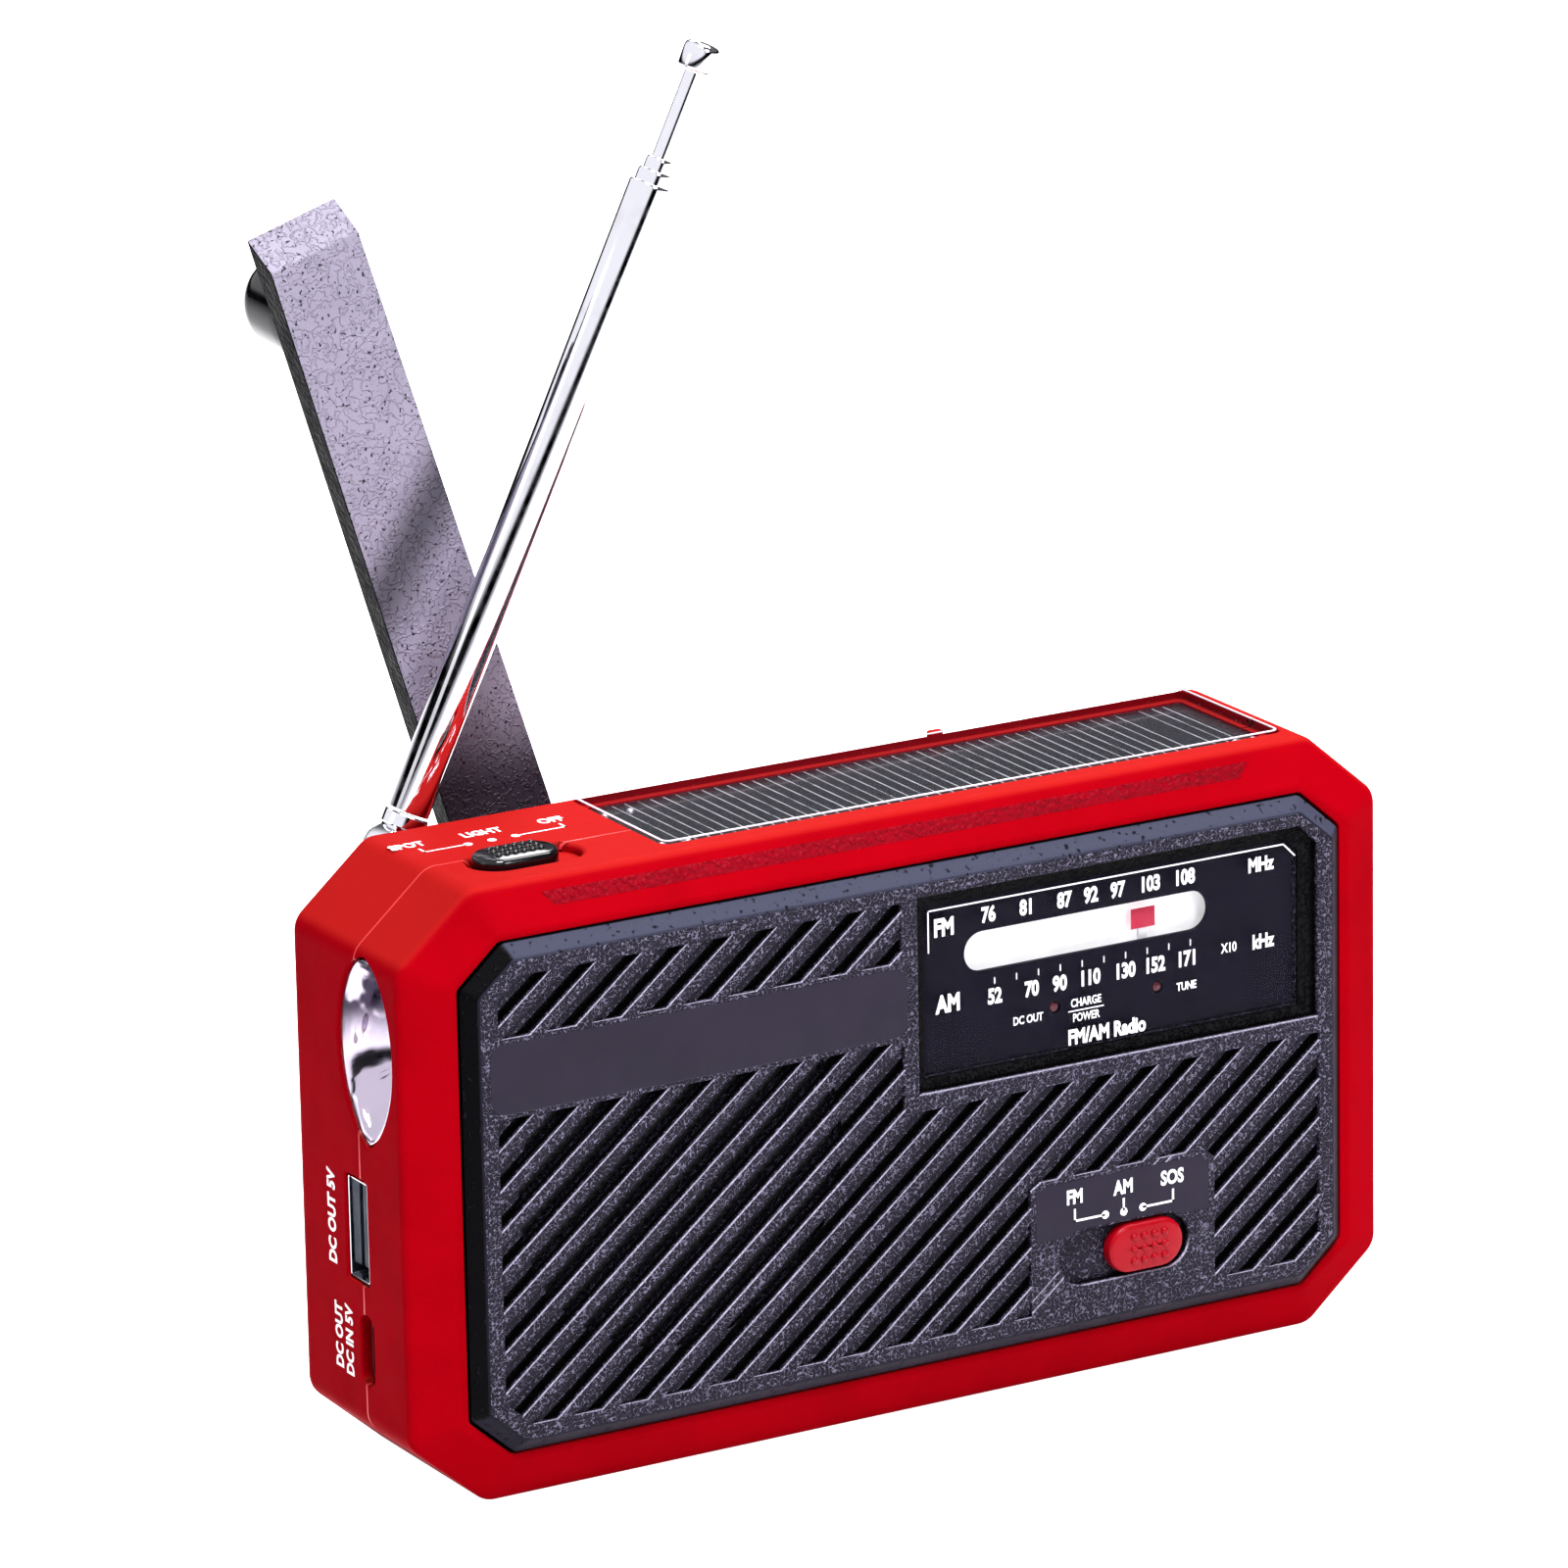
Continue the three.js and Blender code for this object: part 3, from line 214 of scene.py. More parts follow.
def octagon(half_w, half_h, cut_x, cut_z, radius, steps=8):
    right = [(half_w, -half_h + cut_z), (half_w, half_h - cut_z), (half_w - cut_x, half_h)]
    left = [(-half_w + cut_x, half_h), (-half_w, half_h - cut_z), (-half_w, -half_h + cut_z)]
    base = [(-half_w + cut_x, -half_h), (half_w - cut_x, -half_h)]
    return round_corners(right + left + base, radius, steps)


def case_outline(inset, radius=CORNER_R):
    cut_x = CHAMFER_X - 0.54 * inset
    cut_z = CHAMFER_Z - 0.62 * inset
    return octagon(HALF_W - inset, HALF_H - inset, cut_x, cut_z, radius)


def back_outline(half_w, z0, z1, cut, radius):
    corners = [
        (half_w, z0 + cut), (half_w, z1 - cut), (half_w - cut, z1), (-half_w + cut, z1),
        (-half_w, z1 - cut), (-half_w, z0 + cut), (-half_w + cut, z0), (half_w - cut, z0),
    ]
    return round_corners(corners, radius)


def arc(a, b, radius, start, end, steps):
    turns = [start + (end - start) * k / steps for k in range(steps + 1)]
    return [(a + radius * cos(t), b + radius * sin(t)) for t in turns]


def rounded_rect(a0, a1, b0, b1, r, steps=8):
    quarter = pi / 2
    return (
        arc(a1 - r, b0 + r, r, -quarter, 0, steps) + arc(a1 - r, b1 - r, r, 0, quarter, steps)
        + arc(a0 + r, b1 - r, r, quarter, 2 * quarter, steps)
        + arc(a0 + r, b0 + r, r, 2 * quarter, 3 * quarter, steps)
    )


def stadium(a0, a1, b0, b1, steps=12):
    return rounded_rect(a0, a1, b0, b1, min(a1 - a0, b1 - b0) / 2 - 0.01, steps)


def circle(a, b, radius, count=48):
    return arc(a, b, radius, 0, 2 * pi * (1 - 1 / count), count - 1)


def cut_rect(a0, a1, b0, b1, cut):
    return [(a0, b0), (a1, b0), (a1, b1 - cut), (a1 - cut, b1), (a0, b1)]


def grow(outline, distance):
    """The outline moved outwards by the distance on every side."""
    count = len(outline)
    grown = []
    for i in range(count):
        here = Vector(outline[i])
        edge_in = (here - Vector(outline[i - 1])).normalized()
        edge_out = (Vector(outline[(i + 1) % count]) - here).normalized()
        out_a = Vector((edge_in.y, -edge_in.x))
        out_b = Vector((edge_out.y, -edge_out.x))
        reach = distance / max(1 + out_a.dot(out_b), 0.35)
        grown.append(tuple(here + (out_a + out_b) * reach))
    return grown


def clip(outline, a, b, c):
    """The part of the outline where a * u + b * v + c is above zero."""
    kept = []
    for i in range(len(outline)):
        p = outline[i - 1]
        q = outline[i]
        side_p = a * p[0] + b * p[1] + c
        side_q = a * q[0] + b * q[1] + c
        if (side_p > 0) != (side_q > 0):
            t = side_p / (side_p - side_q)
            kept.append((p[0] + (q[0] - p[0]) * t, p[1] + (q[1] - p[1]) * t))
        if side_q > 0:
            kept.append(q)
    return tidy(kept)


def tidy(outline, least=0.12):
    kept = []
    for p in outline:
        if not kept or (Vector(p) - Vector(kept[-1])).length > least:
            kept.append(p)
    while len(kept) > 1 and (Vector(kept[0]) - Vector(kept[-1])).length <= least:
        kept.pop()
    return kept


def area(outline):
    pairs = zip(outline, outline[1:] + outline[:1])
    return sum(p[0] * q[1] - q[0] * p[1] for p, q in pairs) / 2


def torch_outline(change=0.0, count=72):
    """An upright oval that comes to a blunt point at the bottom and, less so, at the top."""
    points = []
    for k in range(count):
        turn = 2 * pi * k / count
        point = 0.5 if sin(turn) < 0 else 0.12
        across = cos(turn) * abs(cos(turn)) ** point
        a = TORCH["y"] + (TORCH["half_y"] + change) * across
        points.append((a, TORCH["z"] + (TORCH["half_z"] + change) * sin(turn)))
    return points


# ---------------------------------------------------------------- solids

PLACES = {
    "X": lambda a, b, d: (d, a, b),
    "Y": lambda a, b, d: (a, d, b),
    "Z": lambda a, b, d: (a, b, d),
}


def ring(outline, axis, depth):
    place = PLACES[axis]
    return [place(a, b, depth) for a, b in outline]


def add_skin(mesh, rings, loop=False, cap=True):
    """Skins a row of rings with equal counts. Its ends are capped, unless it closes on itself."""
    rows = [[mesh.verts.new(p) for p in points] for points in rings]
    pairs = list(zip(rows, rows[1:]))
    if loop:
        pairs.append((rows[-1], rows[0]))
    faces = []
    for low, high in pairs:
        for i in range(len(low)):
            j = (i + 1) % len(low)
            faces.append(mesh.faces.new((low[i], low[j], high[j], high[i])))
    if cap and not loop:
        faces.append(mesh.faces.new(rows[0][::-1]))
        faces.append(mesh.faces.new(rows[-1]))
    bmesh.ops.recalc_face_normals(mesh, faces=faces)
    return faces


def add_turned(mesh, profile, axis, a, b, count=48):
    """A body of revolution from (radius, depth) pairs, about a line along the axis through (a, b)."""
    return add_skin(mesh, [ring(circle(a, b, max(r, 0.01), count), axis, d) for r, d in profile])


def add_slab(mesh, outline, axis, d0, d1, edge=0.0):
    """An outline pushed along an axis, with its rims rounded by edge at both ends."""
    if edge == 0:
        return add_skin(mesh, [ring(outline, axis, d0), ring(outline, axis, d1)])
    rims = [(grow(outline, -edge * (1 - sine)), edge * (1 - cosine)) for cosine, sine in quarter_turn(4)]
    rings = [ring(shape, axis, d0 + rise) for shape, rise in rims]
    rings += [ring(shape, axis, d1 - rise) for shape, rise in rims[::-1]]
    return add_skin(mesh, rings)


def add_block(mesh, x0, x1, y0, y1, z0, z1, edge=0.3):
    made = bmesh.ops.create_cube(mesh, size=1)["verts"]
    for v in made:
        v.co = ((x0 if v.co.x < 0 else x1), (y0 if v.co.y < 0 else y1), (z0 if v.co.z < 0 else z1))
    if edge > 0:
        edges = list({e for v in made for e in v.link_edges})
        bmesh.ops.bevel(mesh, geom=edges, offset=edge, segments=3, profile=0.5, affect="EDGES")


def add_dome(mesh, a, b, axis, base, height, radius, count=12):
    profile = [(radius, base - 0.3 * height)]
    profile += [(radius * cosine, base + height * sine) for cosine, sine in quarter_turn(4)]
    add_turned(mesh, profile, axis, a, b, count)


def link(obj):
    bpy.context.scene.collection.objects.link(obj)


def smooth(data, sharp):
    """Shades smooth over every edge that turns less than the sharp angle."""
    data.shade_smooth()
    data.set_sharp_from_angle(angle=radians(sharp))


def to_object(name, mesh, place=CASE, sharp=32):
    data = bpy.data.meshes.new(name)
    mesh.transform(Matrix.Scale(MM, 4) @ place)
    mesh.to_mesh(data)
    mesh.free()
    smooth(data, sharp)
    obj = bpy.data.objects.new(name, data)
    link(obj)
    return obj


def piece(name, build, place=CASE, sharp=32):
    mesh = bmesh.new()
    build(mesh)
    return to_object(name, mesh, place, sharp)


def finished_mesh(obj):
    bpy.context.view_layer.update()
    graph = bpy.context.evaluated_depsgraph_get()
    return bpy.data.meshes.new_from_object(obj.evaluated_get(graph))


def settle(obj, sharp=32):
    """Applies the modifiers and renews the smooth shading."""
    data = finished_mesh(obj)
    obj.modifiers.clear()
    obj.data = data
    smooth(data, sharp)


def carve(obj, cutters, operation="DIFFERENCE", sharp=32):
    for cutter in cutters:
        modifier = obj.modifiers.new("carve", "BOOLEAN")
        modifier.object = cutter
        modifier.operation = operation
        modifier.solver = "MANIFOLD"
    settle(obj, sharp)
    for cutter in cutters:
        bpy.data.objects.remove(cutter)
    return obj


def even_shading(obj):
    """Lets the large faces set the shading, so that flat ones look flat."""
    modifier = obj.modifiers.new("even_shading", "WEIGHTED_NORMAL")
    modifier.keep_sharp = True
    return obj


def slab(outline, axis, d0, d1, place=CASE):
    """A cutter with straight walls."""
    return piece("cutter", lambda mesh: add_slab(mesh, outline, axis, d0, d1), place)


def pit(outline, axis, surface, out, depth, lip, place=CASE):
    """A cutter for an opening from the surface down, whose mouth flares into a round lip."""
    rings = [ring(grow(outline, lip), axis, surface + out * 2)]
    for cosine, sine in quarter_turn(5):
        rings.append(ring(grow(outline, lip * (1 - sine)), axis, surface - out * lip * (1 - cosine)))
    rings.append(ring(outline, axis, surface - out * depth))
    return piece("cutter", lambda mesh: add_skin(mesh, rings), place)


def box_cutter(x0, x1, y0, y1, z0, z1, edge=0.0):
    return piece("cutter", lambda mesh: add_block(mesh, x0, x1, y0, y1, z0, z1, edge))


def join(obj, others):
    """Adds the meshes of the others to the first object."""
    mesh = bmesh.new()
    mesh.from_mesh(obj.data)
    for other in others:
        mesh.from_mesh(other.data)
        bpy.data.objects.remove(other)
    mesh.to_mesh(obj.data)
    mesh.free()
    return obj


# ---------------------------------------------------------------- materials


def srgb(r, g, b):
    """A colour from its screen values, 0 to 255."""
    parts = (v / 255 for v in (r, g, b))
    return tuple(v / 12.92 if v <= 0.04045 else ((v + 0.055) / 1.055) ** 2.4 for v in parts) + (1,)


def new_material(name, color, roughness, metallic=0.0, **sockets):
    made = bpy.data.materials.new(name)
    made.use_nodes = True
    shader = made.node_tree.nodes["Principled BSDF"]
    shader.inputs["Base Color"].default_value = color
    shader.inputs["Roughness"].default_value = roughness
    shader.inputs["Metallic"].default_value = metallic
    for key, value in sockets.items():
        shader.inputs[key.replace("_", " ")].default_value = value
    return made


def shader_of(made):
    return made.node_tree.nodes["Principled BSDF"]


def node(made, kind, inputs=None, **settings):
    """Adds a shader node; its inputs are values, or the outputs of other nodes."""
    added = made.node_tree.nodes.new("ShaderNode" + kind)
    for key, value in settings.items():
        setattr(added, key, value)
    for key, value in (inputs or {}).items():
        if isinstance(value, bpy.types.NodeSocket):
            made.node_tree.links.new(value, added.inputs[key])
        else:
            added.inputs[key].default_value = value
    return added


def coordinates(made, squeeze=(1, 1, 1)):
    position = node(made, "TexCoord").outputs["Object"]
    return node(made, "Mapping", {"Vector": position, "Scale": squeeze}).outputs["Vector"]


def noise(made, size, squeeze=(1, 1, 1), detail=3.0):
    """A noise from 0 to 1 whose blobs are about size millimetres."""
    inputs = {"Vector": coordinates(made, squeeze), "Scale": 1 / (size * MM), "Detail": detail}
    return node(made, "TexNoise", inputs).outputs["Fac"]


def ramp(made, value, low, high, out_low=0.0, out_high=1.0):
    inputs = {"Value": value, "From Min": low, "From Max": high, "To Min": out_low, "To Max": out_high}
    return node(made, "MapRange", inputs, interpolation_type="SMOOTHSTEP").outputs["Result"]


def math_node(made, operation, a, b):
    return node(made, "Math", {0: a, 1: b}, operation=operation).outputs[0]


def tint(made, mask, color):
    """Mixes the base colour towards another colour where the mask is 1."""
    socket = shader_of(made).inputs["Base Color"]
    mix = node(made, "Mix", {"Factor": mask}, data_type="RGBA")
    if socket.is_linked:
        made.node_tree.links.new(socket.links[0].from_socket, mix.inputs[6])
    else:
        mix.inputs[6].default_value = socket.default_value[:]
    mix.inputs[7].default_value = color
    made.node_tree.links.new(mix.outputs[2], socket)


def raise_surface(made, height, millimetres):
    """Adds a height from 0 to 1 to the surface's fine relief."""
    socket = shader_of(made).inputs["Normal"]
    inputs = {"Height": height, "Distance": millimetres * MM, "Strength": 1.0}
    if socket.is_linked:
        inputs["Normal"] = socket.links[0].from_socket
    bump = node(made, "Bump", inputs)
    made.node_tree.links.new(bump.outputs["Normal"], socket)


def vary_roughness(made, mask, low, high):
    made.node_tree.links.new(ramp(made, mask, 0.3, 0.7, low, high), shader_of(made).inputs["Roughness"])


def shade(color, factor):
    return tuple(v * factor for v in color[:3]) + (1,)


def leather_height(made, size):
    """Pebbled moulding grain: cells that are pulled about by a noise."""
    place = coordinates(made)
    wobble = node(made, "TexNoise", {"Vector": place, "Scale": 0.9 / (size * MM), "Detail": 2.0})
    reach = {0: wobble.outputs["Color"], 1: (size * MM * 0.9,) * 3}
    bent = node(made, "VectorMath", reach, operation="MULTIPLY")
    moved = node(made, "VectorMath", {0: place, 1: bent.outputs[0]}, operation="ADD")
    cells = {"Vector": moved.outputs[0], "Scale": 1 / (size * MM), "Smoothness": 0.35}
    voronoi = node(made, "TexVoronoi", cells, feature="SMOOTH_F1")
    return ramp(made, voronoi.outputs["Distance"], 0.15, 0.75, 1.0, 0.0)


def moulded(name, color, roughness, grain=0.5, height=0.02, mottle=0.85, mirror=0.5):
    """Moulded plastic: a fine grain, slight cloudiness in colour and uneven gloss."""
    made = new_material(name, color, roughness, Specular_IOR_Level=mirror)
    cloud = noise(made, 9)
    tint(made, ramp(made, cloud, 0.35, 0.75), shade(color, mottle))
    raise_surface(made, noise(made, grain, detail=4.0), height)
    vary_roughness(made, noise(made, 3), roughness * 0.88, roughness * 1.12)
    return made


def red_case():
    color = srgb(152, 1, 20)
    made = moulded("red_case", color, 0.42, grain=0.35, height=0.006, mottle=0.9, mirror=0.005)
    # Painted sheen: faces that turn upward are tinted a lighter, more orange red, as if lit from above.
    painted_top_sheen = facing(made, (0, 0, 1), 0.25, 0.9)
    tint(made, ramp(made, painted_top_sheen, 0, 1, 0.0, 0.75), srgb(164, 38, 34))
    return made


def red_grip():
    made = moulded("red_grip", srgb(134, 0, 24), 0.5, grain=0.7, height=0.03, mirror=0.08)
    raise_surface(made, leather_height(made, 0.8), 0.2)
    return made


def height_along(made, axis, low, high, out_low=0.0, out_high=1.0):
    """Runs from one value to another between two places, in millimetres, on an axis."""
    place = node(made, "TexCoord").outputs["Object"]
    along = node(made, "SeparateXYZ", {"Vector": place}).outputs[axis]
    return ramp(made, along, low * MM, high * MM, out_low, out_high)


def worm_height(made, size):
    """Winding ridges of moulding grain, where a noise crosses its middle."""
    away = math_node(made, "SUBTRACT", noise(made, size, detail=1.5), 0.5)
    apart = node(made, "Math", {0: away}, operation="ABSOLUTE")
    return ramp(made, apart.outputs[0], 0.0, 0.07, 1.0, 0.0)


def facing(made, direction, low, high):
    """1 where the surface faces a direction, falling to 0 away from it."""
    normal = node(made, "NewGeometry").outputs["True Normal"]
    inputs = {0: normal, 1: Vector(direction).normalized()}
    along = node(made, "VectorMath", inputs, operation="DOT_PRODUCT")
    return ramp(made, along.outputs["Value"], low, high)


def slate_grain():
    """Slate plastic with a winding grain, with painted shade that turns its grooves black and a painted
    highlight that turns their lower lips pale.
    """
    made = moulded("slate_grain", srgb(40, 37, 48), 0.34, grain=0.3, mottle=0.8, mirror=0.08)
    worms = worm_height(made, 0.66)
    raise_surface(made, worms, 0.15)
    tint(made, ramp(made, worms, 0.5, 1.0, 0.0, 0.7), srgb(132, 127, 150))
    # Painted shade: everything sunk deeper than the panel face, down to the slot floor, is tinted black.
    painted_groove_shade = height_along(made, "Y", Y_PANEL + 0.3, Y_PANEL + 0.75)
    slot_floor = Y_PANEL + SLOT_FLOOR
    above_floor = height_along(made, "Y", slot_floor - 0.14, slot_floor - 0.04, 1.0, 0.0)
    tint(made, math_node(made, "MULTIPLY", painted_groove_shade, above_floor), srgb(5, 4, 7))
    # Painted highlight: lips that face up, left and forward near the panel face are tinted pale.
    lip = facing(made, (-0.45, -0.6, 0.62), 0.8, 0.9)
    near_face = height_along(made, "Y", Y_PANEL + 0.22, Y_PANEL + 0.34, 1.0, 0.0)
    tint(made, math_node(made, "MULTIPLY", lip, near_face), srgb(170, 165, 186))
    return made


def slate_border():
    """The panel's slanted border, with a painted highlight that makes its top pale and painted shade
    that makes its left side black.
    """
    made = moulded("slate_border", srgb(36, 35, 46), 0.45, grain=0.4, mottle=0.8, mirror=0.06)
    # Painted highlight on the upward faces and painted shade on the faces that turn left.
    tint(made, facing(made, (0, 0, 1), 0.2, 0.5), srgb(66, 68, 84))
    tint(made, facing(made, (-1, 0, 0.4), 0.25, 0.5), srgb(5, 4, 7))
    specks = noise(made, 0.8, detail=1.0)
    raise_surface(made, ramp(made, specks, 0.6, 0.75), 0.12)
    tint(made, ramp(made, specks, 0.66, 0.74), srgb(26, 25, 33))
    return made


def smooth_slate():
    color = srgb(46, 41, 54)
    return moulded("smooth_slate", color, 0.5, grain=0.25, height=0.004, mottle=0.9, mirror=0.12)


def crank_plastic():
    """Grained plastic painted pale for the light the arm's front reflects, with dark specks, a diagonal
    band of painted shade and painted shade on its foot.
    """
    made = moulded("crank_plastic", srgb(142, 136, 154), 0.4, mottle=0.86, mirror=0.25)
    raise_surface(made, worm_height(made, 1.1), 0.12)
    specks = noise(made, 0.42, detail=0.0)
    tint(made, ramp(made, specks, 0.7, 0.76), srgb(40, 36, 48))
    # Painted shade: a dark diagonal band across the arm.
    place = node(made, "TexCoord").outputs["Object"]
    across = node(made, "VectorMath", {0: place, 1: (-1.6, 0, 1)}, operation="DOT_PRODUCT")
    rising = ramp(made, across.outputs["Value"], 176 * MM, 190 * MM)
    falling = ramp(made, across.outputs["Value"], 190 * MM, 202 * MM, 0.8, 0.0)
    tint(made, math_node(made, "MULTIPLY", rising, falling), srgb(34, 31, 42))
    # Painted shade: the arm darkens towards its foot.
    tint(made, height_along(made, "Z", 79, 94, 0.92, 0.0), srgb(34, 31, 42))
    return made


def crank_dark():
    made = moulded("crank_dark", srgb(16, 15, 18), 0.5, grain=0.4, height=0.01, mirror=0.06)
    raise_surface(made, leather_height(made, 0.8), 0.07)
    return made


def gloss_black():
    made = new_material("gloss_black", srgb(12, 11, 15), 0.14, Coat_Weight=0.2, Coat_Roughness=0.05)
    vary_roughness(made, noise(made, 4), 0.09, 0.17)
    raise_surface(made, noise(made, 6), 0.01)
    return made


def dial_black():
    return moulded("dial_black", srgb(24, 21, 34), 0.35, grain=2.0, height=0.003, mirror=0.05)


def clear_plastic():
    color = (0.02, 0.02, 0.03, 1)
    made = new_material("clear_plastic", color, 0.04, Alpha=0.08, Specular_IOR_Level=0.12)
    raise_surface(made, noise(made, 14), 0.01)
    vary_roughness(made, noise(made, 8), 0.03, 0.07)
    return made


def scale_white_painted_glow():
    # Painted glow: the white backing behind the scale glows, though no lamp lights it.
    glow = {"Emission_Color": (1, 1, 1, 1), "Emission_Strength": 0.5}
    made = new_material("scale_white_painted_glow", srgb(240, 240, 244), 0.6, **glow)
    tint(made, ramp(made, noise(made, 4), 0.4, 0.8), srgb(226, 226, 232))
    return made


def white_print():
    made = new_material("white_print", srgb(246, 246, 250), 0.5)
    tint(made, ramp(made, noise(made, 0.5), 0.5, 0.8), srgb(222, 222, 232))
    return made


def chrome(name="chrome", tone=(226, 226, 232)):
    made = new_material(name, srgb(*tone), 0.07, metallic=1.0)
    vary_roughness(made, noise(made, 2.5), 0.05, 0.12)
    raise_surface(made, noise(made, 12), 0.006)
    tint(made, ramp(made, noise(made, 5), 0.5, 0.9), srgb(204, 200, 212))
    return made


def torch_chrome():
    """Crumpled-looking chrome of the torch bowl, with painted dark reflections as patches in its upper
    half.
    """
    made = chrome("torch_chrome", (226, 214, 234))
    raise_surface(made, noise(made, 4.5, squeeze=(1, 1, 0.45), detail=1.0), 1.6)
    # Painted reflection: dark patches over the upper half of the bowl.
    patches = ramp(made, noise(made, 3.2, squeeze=(1, 1, 0.5), detail=2.0), 0.42, 0.56)
    middle = HALF_H + TORCH["z"]
    upper = height_along(made, "Z", middle - 1, middle + 5)
    tint(made, math_node(made, "MULTIPLY", patches, upper), srgb(64, 56, 72))
    return made


def brushed(name, tone, roughness, metallic=1.0):
    made = new_material(name, srgb(*tone), roughness, metallic=metallic)
    lines = noise(made, 0.3, squeeze=(1, 0.05, 1), detail=2.0)
    vary_roughness(made, lines, roughness * 0.8, roughness * 1.25)
    raise_surface(made, lines, 0.004)
    tint(made, ramp(made, noise(made, 3), 0.45, 0.8), shade(srgb(*tone), 0.82))
    return made


def solar_cells():
    made = new_material("solar_cells", srgb(20, 21, 27), 0.22, Coat_Weight=0.5)
    grains = node(made, "TexVoronoi", {"Vector": coordinates(made), "Scale": 1 / (2.2 * MM)})
    tint(made, ramp(made, grains.outputs["Distance"], 0.1, 0.9, 0.0, 0.6), srgb(30, 32, 44))
    raise_surface(made, noise(made, 0.5), 0.004)
    return made


def circuit_board():
    made = moulded("circuit_board", srgb(24, 92, 52), 0.4, grain=0.6, height=0.006)
    traces = noise(made, 1.6, squeeze=(1, 1, 0.2), detail=0.0)
    tint(made, ramp(made, traces, 0.56, 0.6), srgb(52, 132, 78))
    return made


def speaker_cloth():
    made = new_material("speaker_cloth", srgb(10, 10, 13), 0.75)
    place = coordinates(made)
    for direction in ("X", "Z"):
        inputs = {"Vector": place, "Scale": 0.32 / MM}
        wave = node(made, "TexWave", inputs, bands_direction=direction)
        raise_surface(made, wave.outputs["Fac"], 0.12)
    tint(made, noise(made, 2), srgb(20, 20, 25))
    return made


def red_knob():
    return moulded("red_knob", srgb(156, 4, 26), 0.3, height=0.006, mirror=0.2)


def copper_wire():
    made = brushed("copper_wire", (190, 106, 60), 0.3)
    inputs = {"Vector": coordinates(made), "Scale": 0.5 / MM}
    wave = node(made, "TexWave", inputs, bands_direction="X")
    raise_surface(made, wave.outputs["Fac"], 0.15)
    return made


RED = red_case()
RED_GRIP = red_grip()
# A lighter red that paints the highlight line along the seam between the shells.
RED_SEAM_HIGHLIGHT = moulded("red_seam_highlight", srgb(196, 48, 48), 0.4)
SLATE = slate_grain()
BORDER = slate_border()
SMOOTH = smooth_slate()
CRANK_PAINTED_SHEEN = crank_plastic()
CRANK_DARK = crank_dark()
BLACK = gloss_black()
DIAL_BLACK = dial_black()
CLEAR = clear_plastic()
PRINT = white_print()
CHROME = chrome()
TORCH_CHROME = torch_chrome()
STEEL = brushed("steel", (168, 168, 172), 0.3)
SOLAR_CELLS = solar_cells()
BOARD = circuit_board()
CLOTH = speaker_cloth()
RED_KNOB = red_knob()
COPPER = copper_wire()
BRASS = brushed("brass", (196, 160, 92), 0.28)
SILVER_LINE = brushed("silver_line", (205, 206, 214), 0.3, metallic=0.8)
PALE_EDGE_HIGHLIGHT = moulded("pale_edge_highlight", srgb(236, 226, 238), 0.3)
POINTER_PINK = moulded("pointer_pink", srgb(204, 14, 66), 0.35)
WHITE_PLASTIC = moulded("white_plastic", srgb(244, 244, 246), 0.45, mottle=0.96)
SCALE_WHITE_PAINTED_GLOW = scale_white_painted_glow()
NYLON = moulded("nylon", srgb(226, 221, 205), 0.5)
FERRITE = moulded("ferrite", srgb(44, 42, 42), 0.75, grain=0.3, height=0.03)
PAPER = moulded("speaker_paper", srgb(52, 50, 50), 0.85, grain=0.4, height=0.06)
BATTERY = moulded("battery_wrap", srgb(44, 92, 170), 0.35)
WHEEL_BLACK = moulded("wheel_black", srgb(26, 25, 29), 0.5, grain=0.3, height=0.01)
LED_RESIN = moulded("led_resin", srgb(92, 26, 40), 0.2, grain=2.0, height=0.004)
SLATE_TONGUE = moulded("slate_tongue", srgb(64, 72, 82), 0.5)
# A darkened case red that paints the shade in the USB-C recess.
SHADED_DARK_RED = moulded("painted_shade_red_recess", srgb(96, 4, 18), 0.5)


def place_piece(obj, material, slot, body, *nodes):
    obj.data.materials.clear()
    obj.data.materials.append(material)
    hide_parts(*nodes)
    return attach(obj, body)


def extra_piece(obj, material, body):
    obj.data.materials.clear()
    obj.data.materials.append(material)
    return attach(obj, body)


# ---------------------------------------------------------------- camera, floor and lights

CAMERA_AT = Vector((-0.5937, -1.0235, 0.4288))
CAMERA_RIGHT = Vector((0.8655, -0.5004, -0.0186))
CAMERA_UP = Vector((0.1565, 0.2352, 0.9592))
CAMERA_LENS = 222.5


def make_camera():
    data = bpy.data.cameras.new("camera")
    data.lens = CAMERA_LENS
    data.sensor_width = 36
    data.clip_end = 20
    camera = bpy.data.objects.new("camera", data)
    link(camera)
    right = CAMERA_RIGHT.normalized()
    back = right.cross(CAMERA_UP).normalized()
    up = back.cross(right)
    turn = Matrix((right, up, back)).transposed().to_4x4()
    camera.matrix_world = Matrix.Translation(CAMERA_AT) @ turn
    bpy.context.scene.camera = camera


def make_light(name, at, aim, size, power):
    data = bpy.data.lights.new(name, "AREA")
    data.shape = "RECTANGLE"
    data.size, data.size_y = size
    data.energy = power
    light = bpy.data.objects.new(name, data)
    link(light)
    light.location = at
    light.rotation_euler = (Vector(aim) - Vector(at)).to_track_quat("-Z", "Y").to_euler()


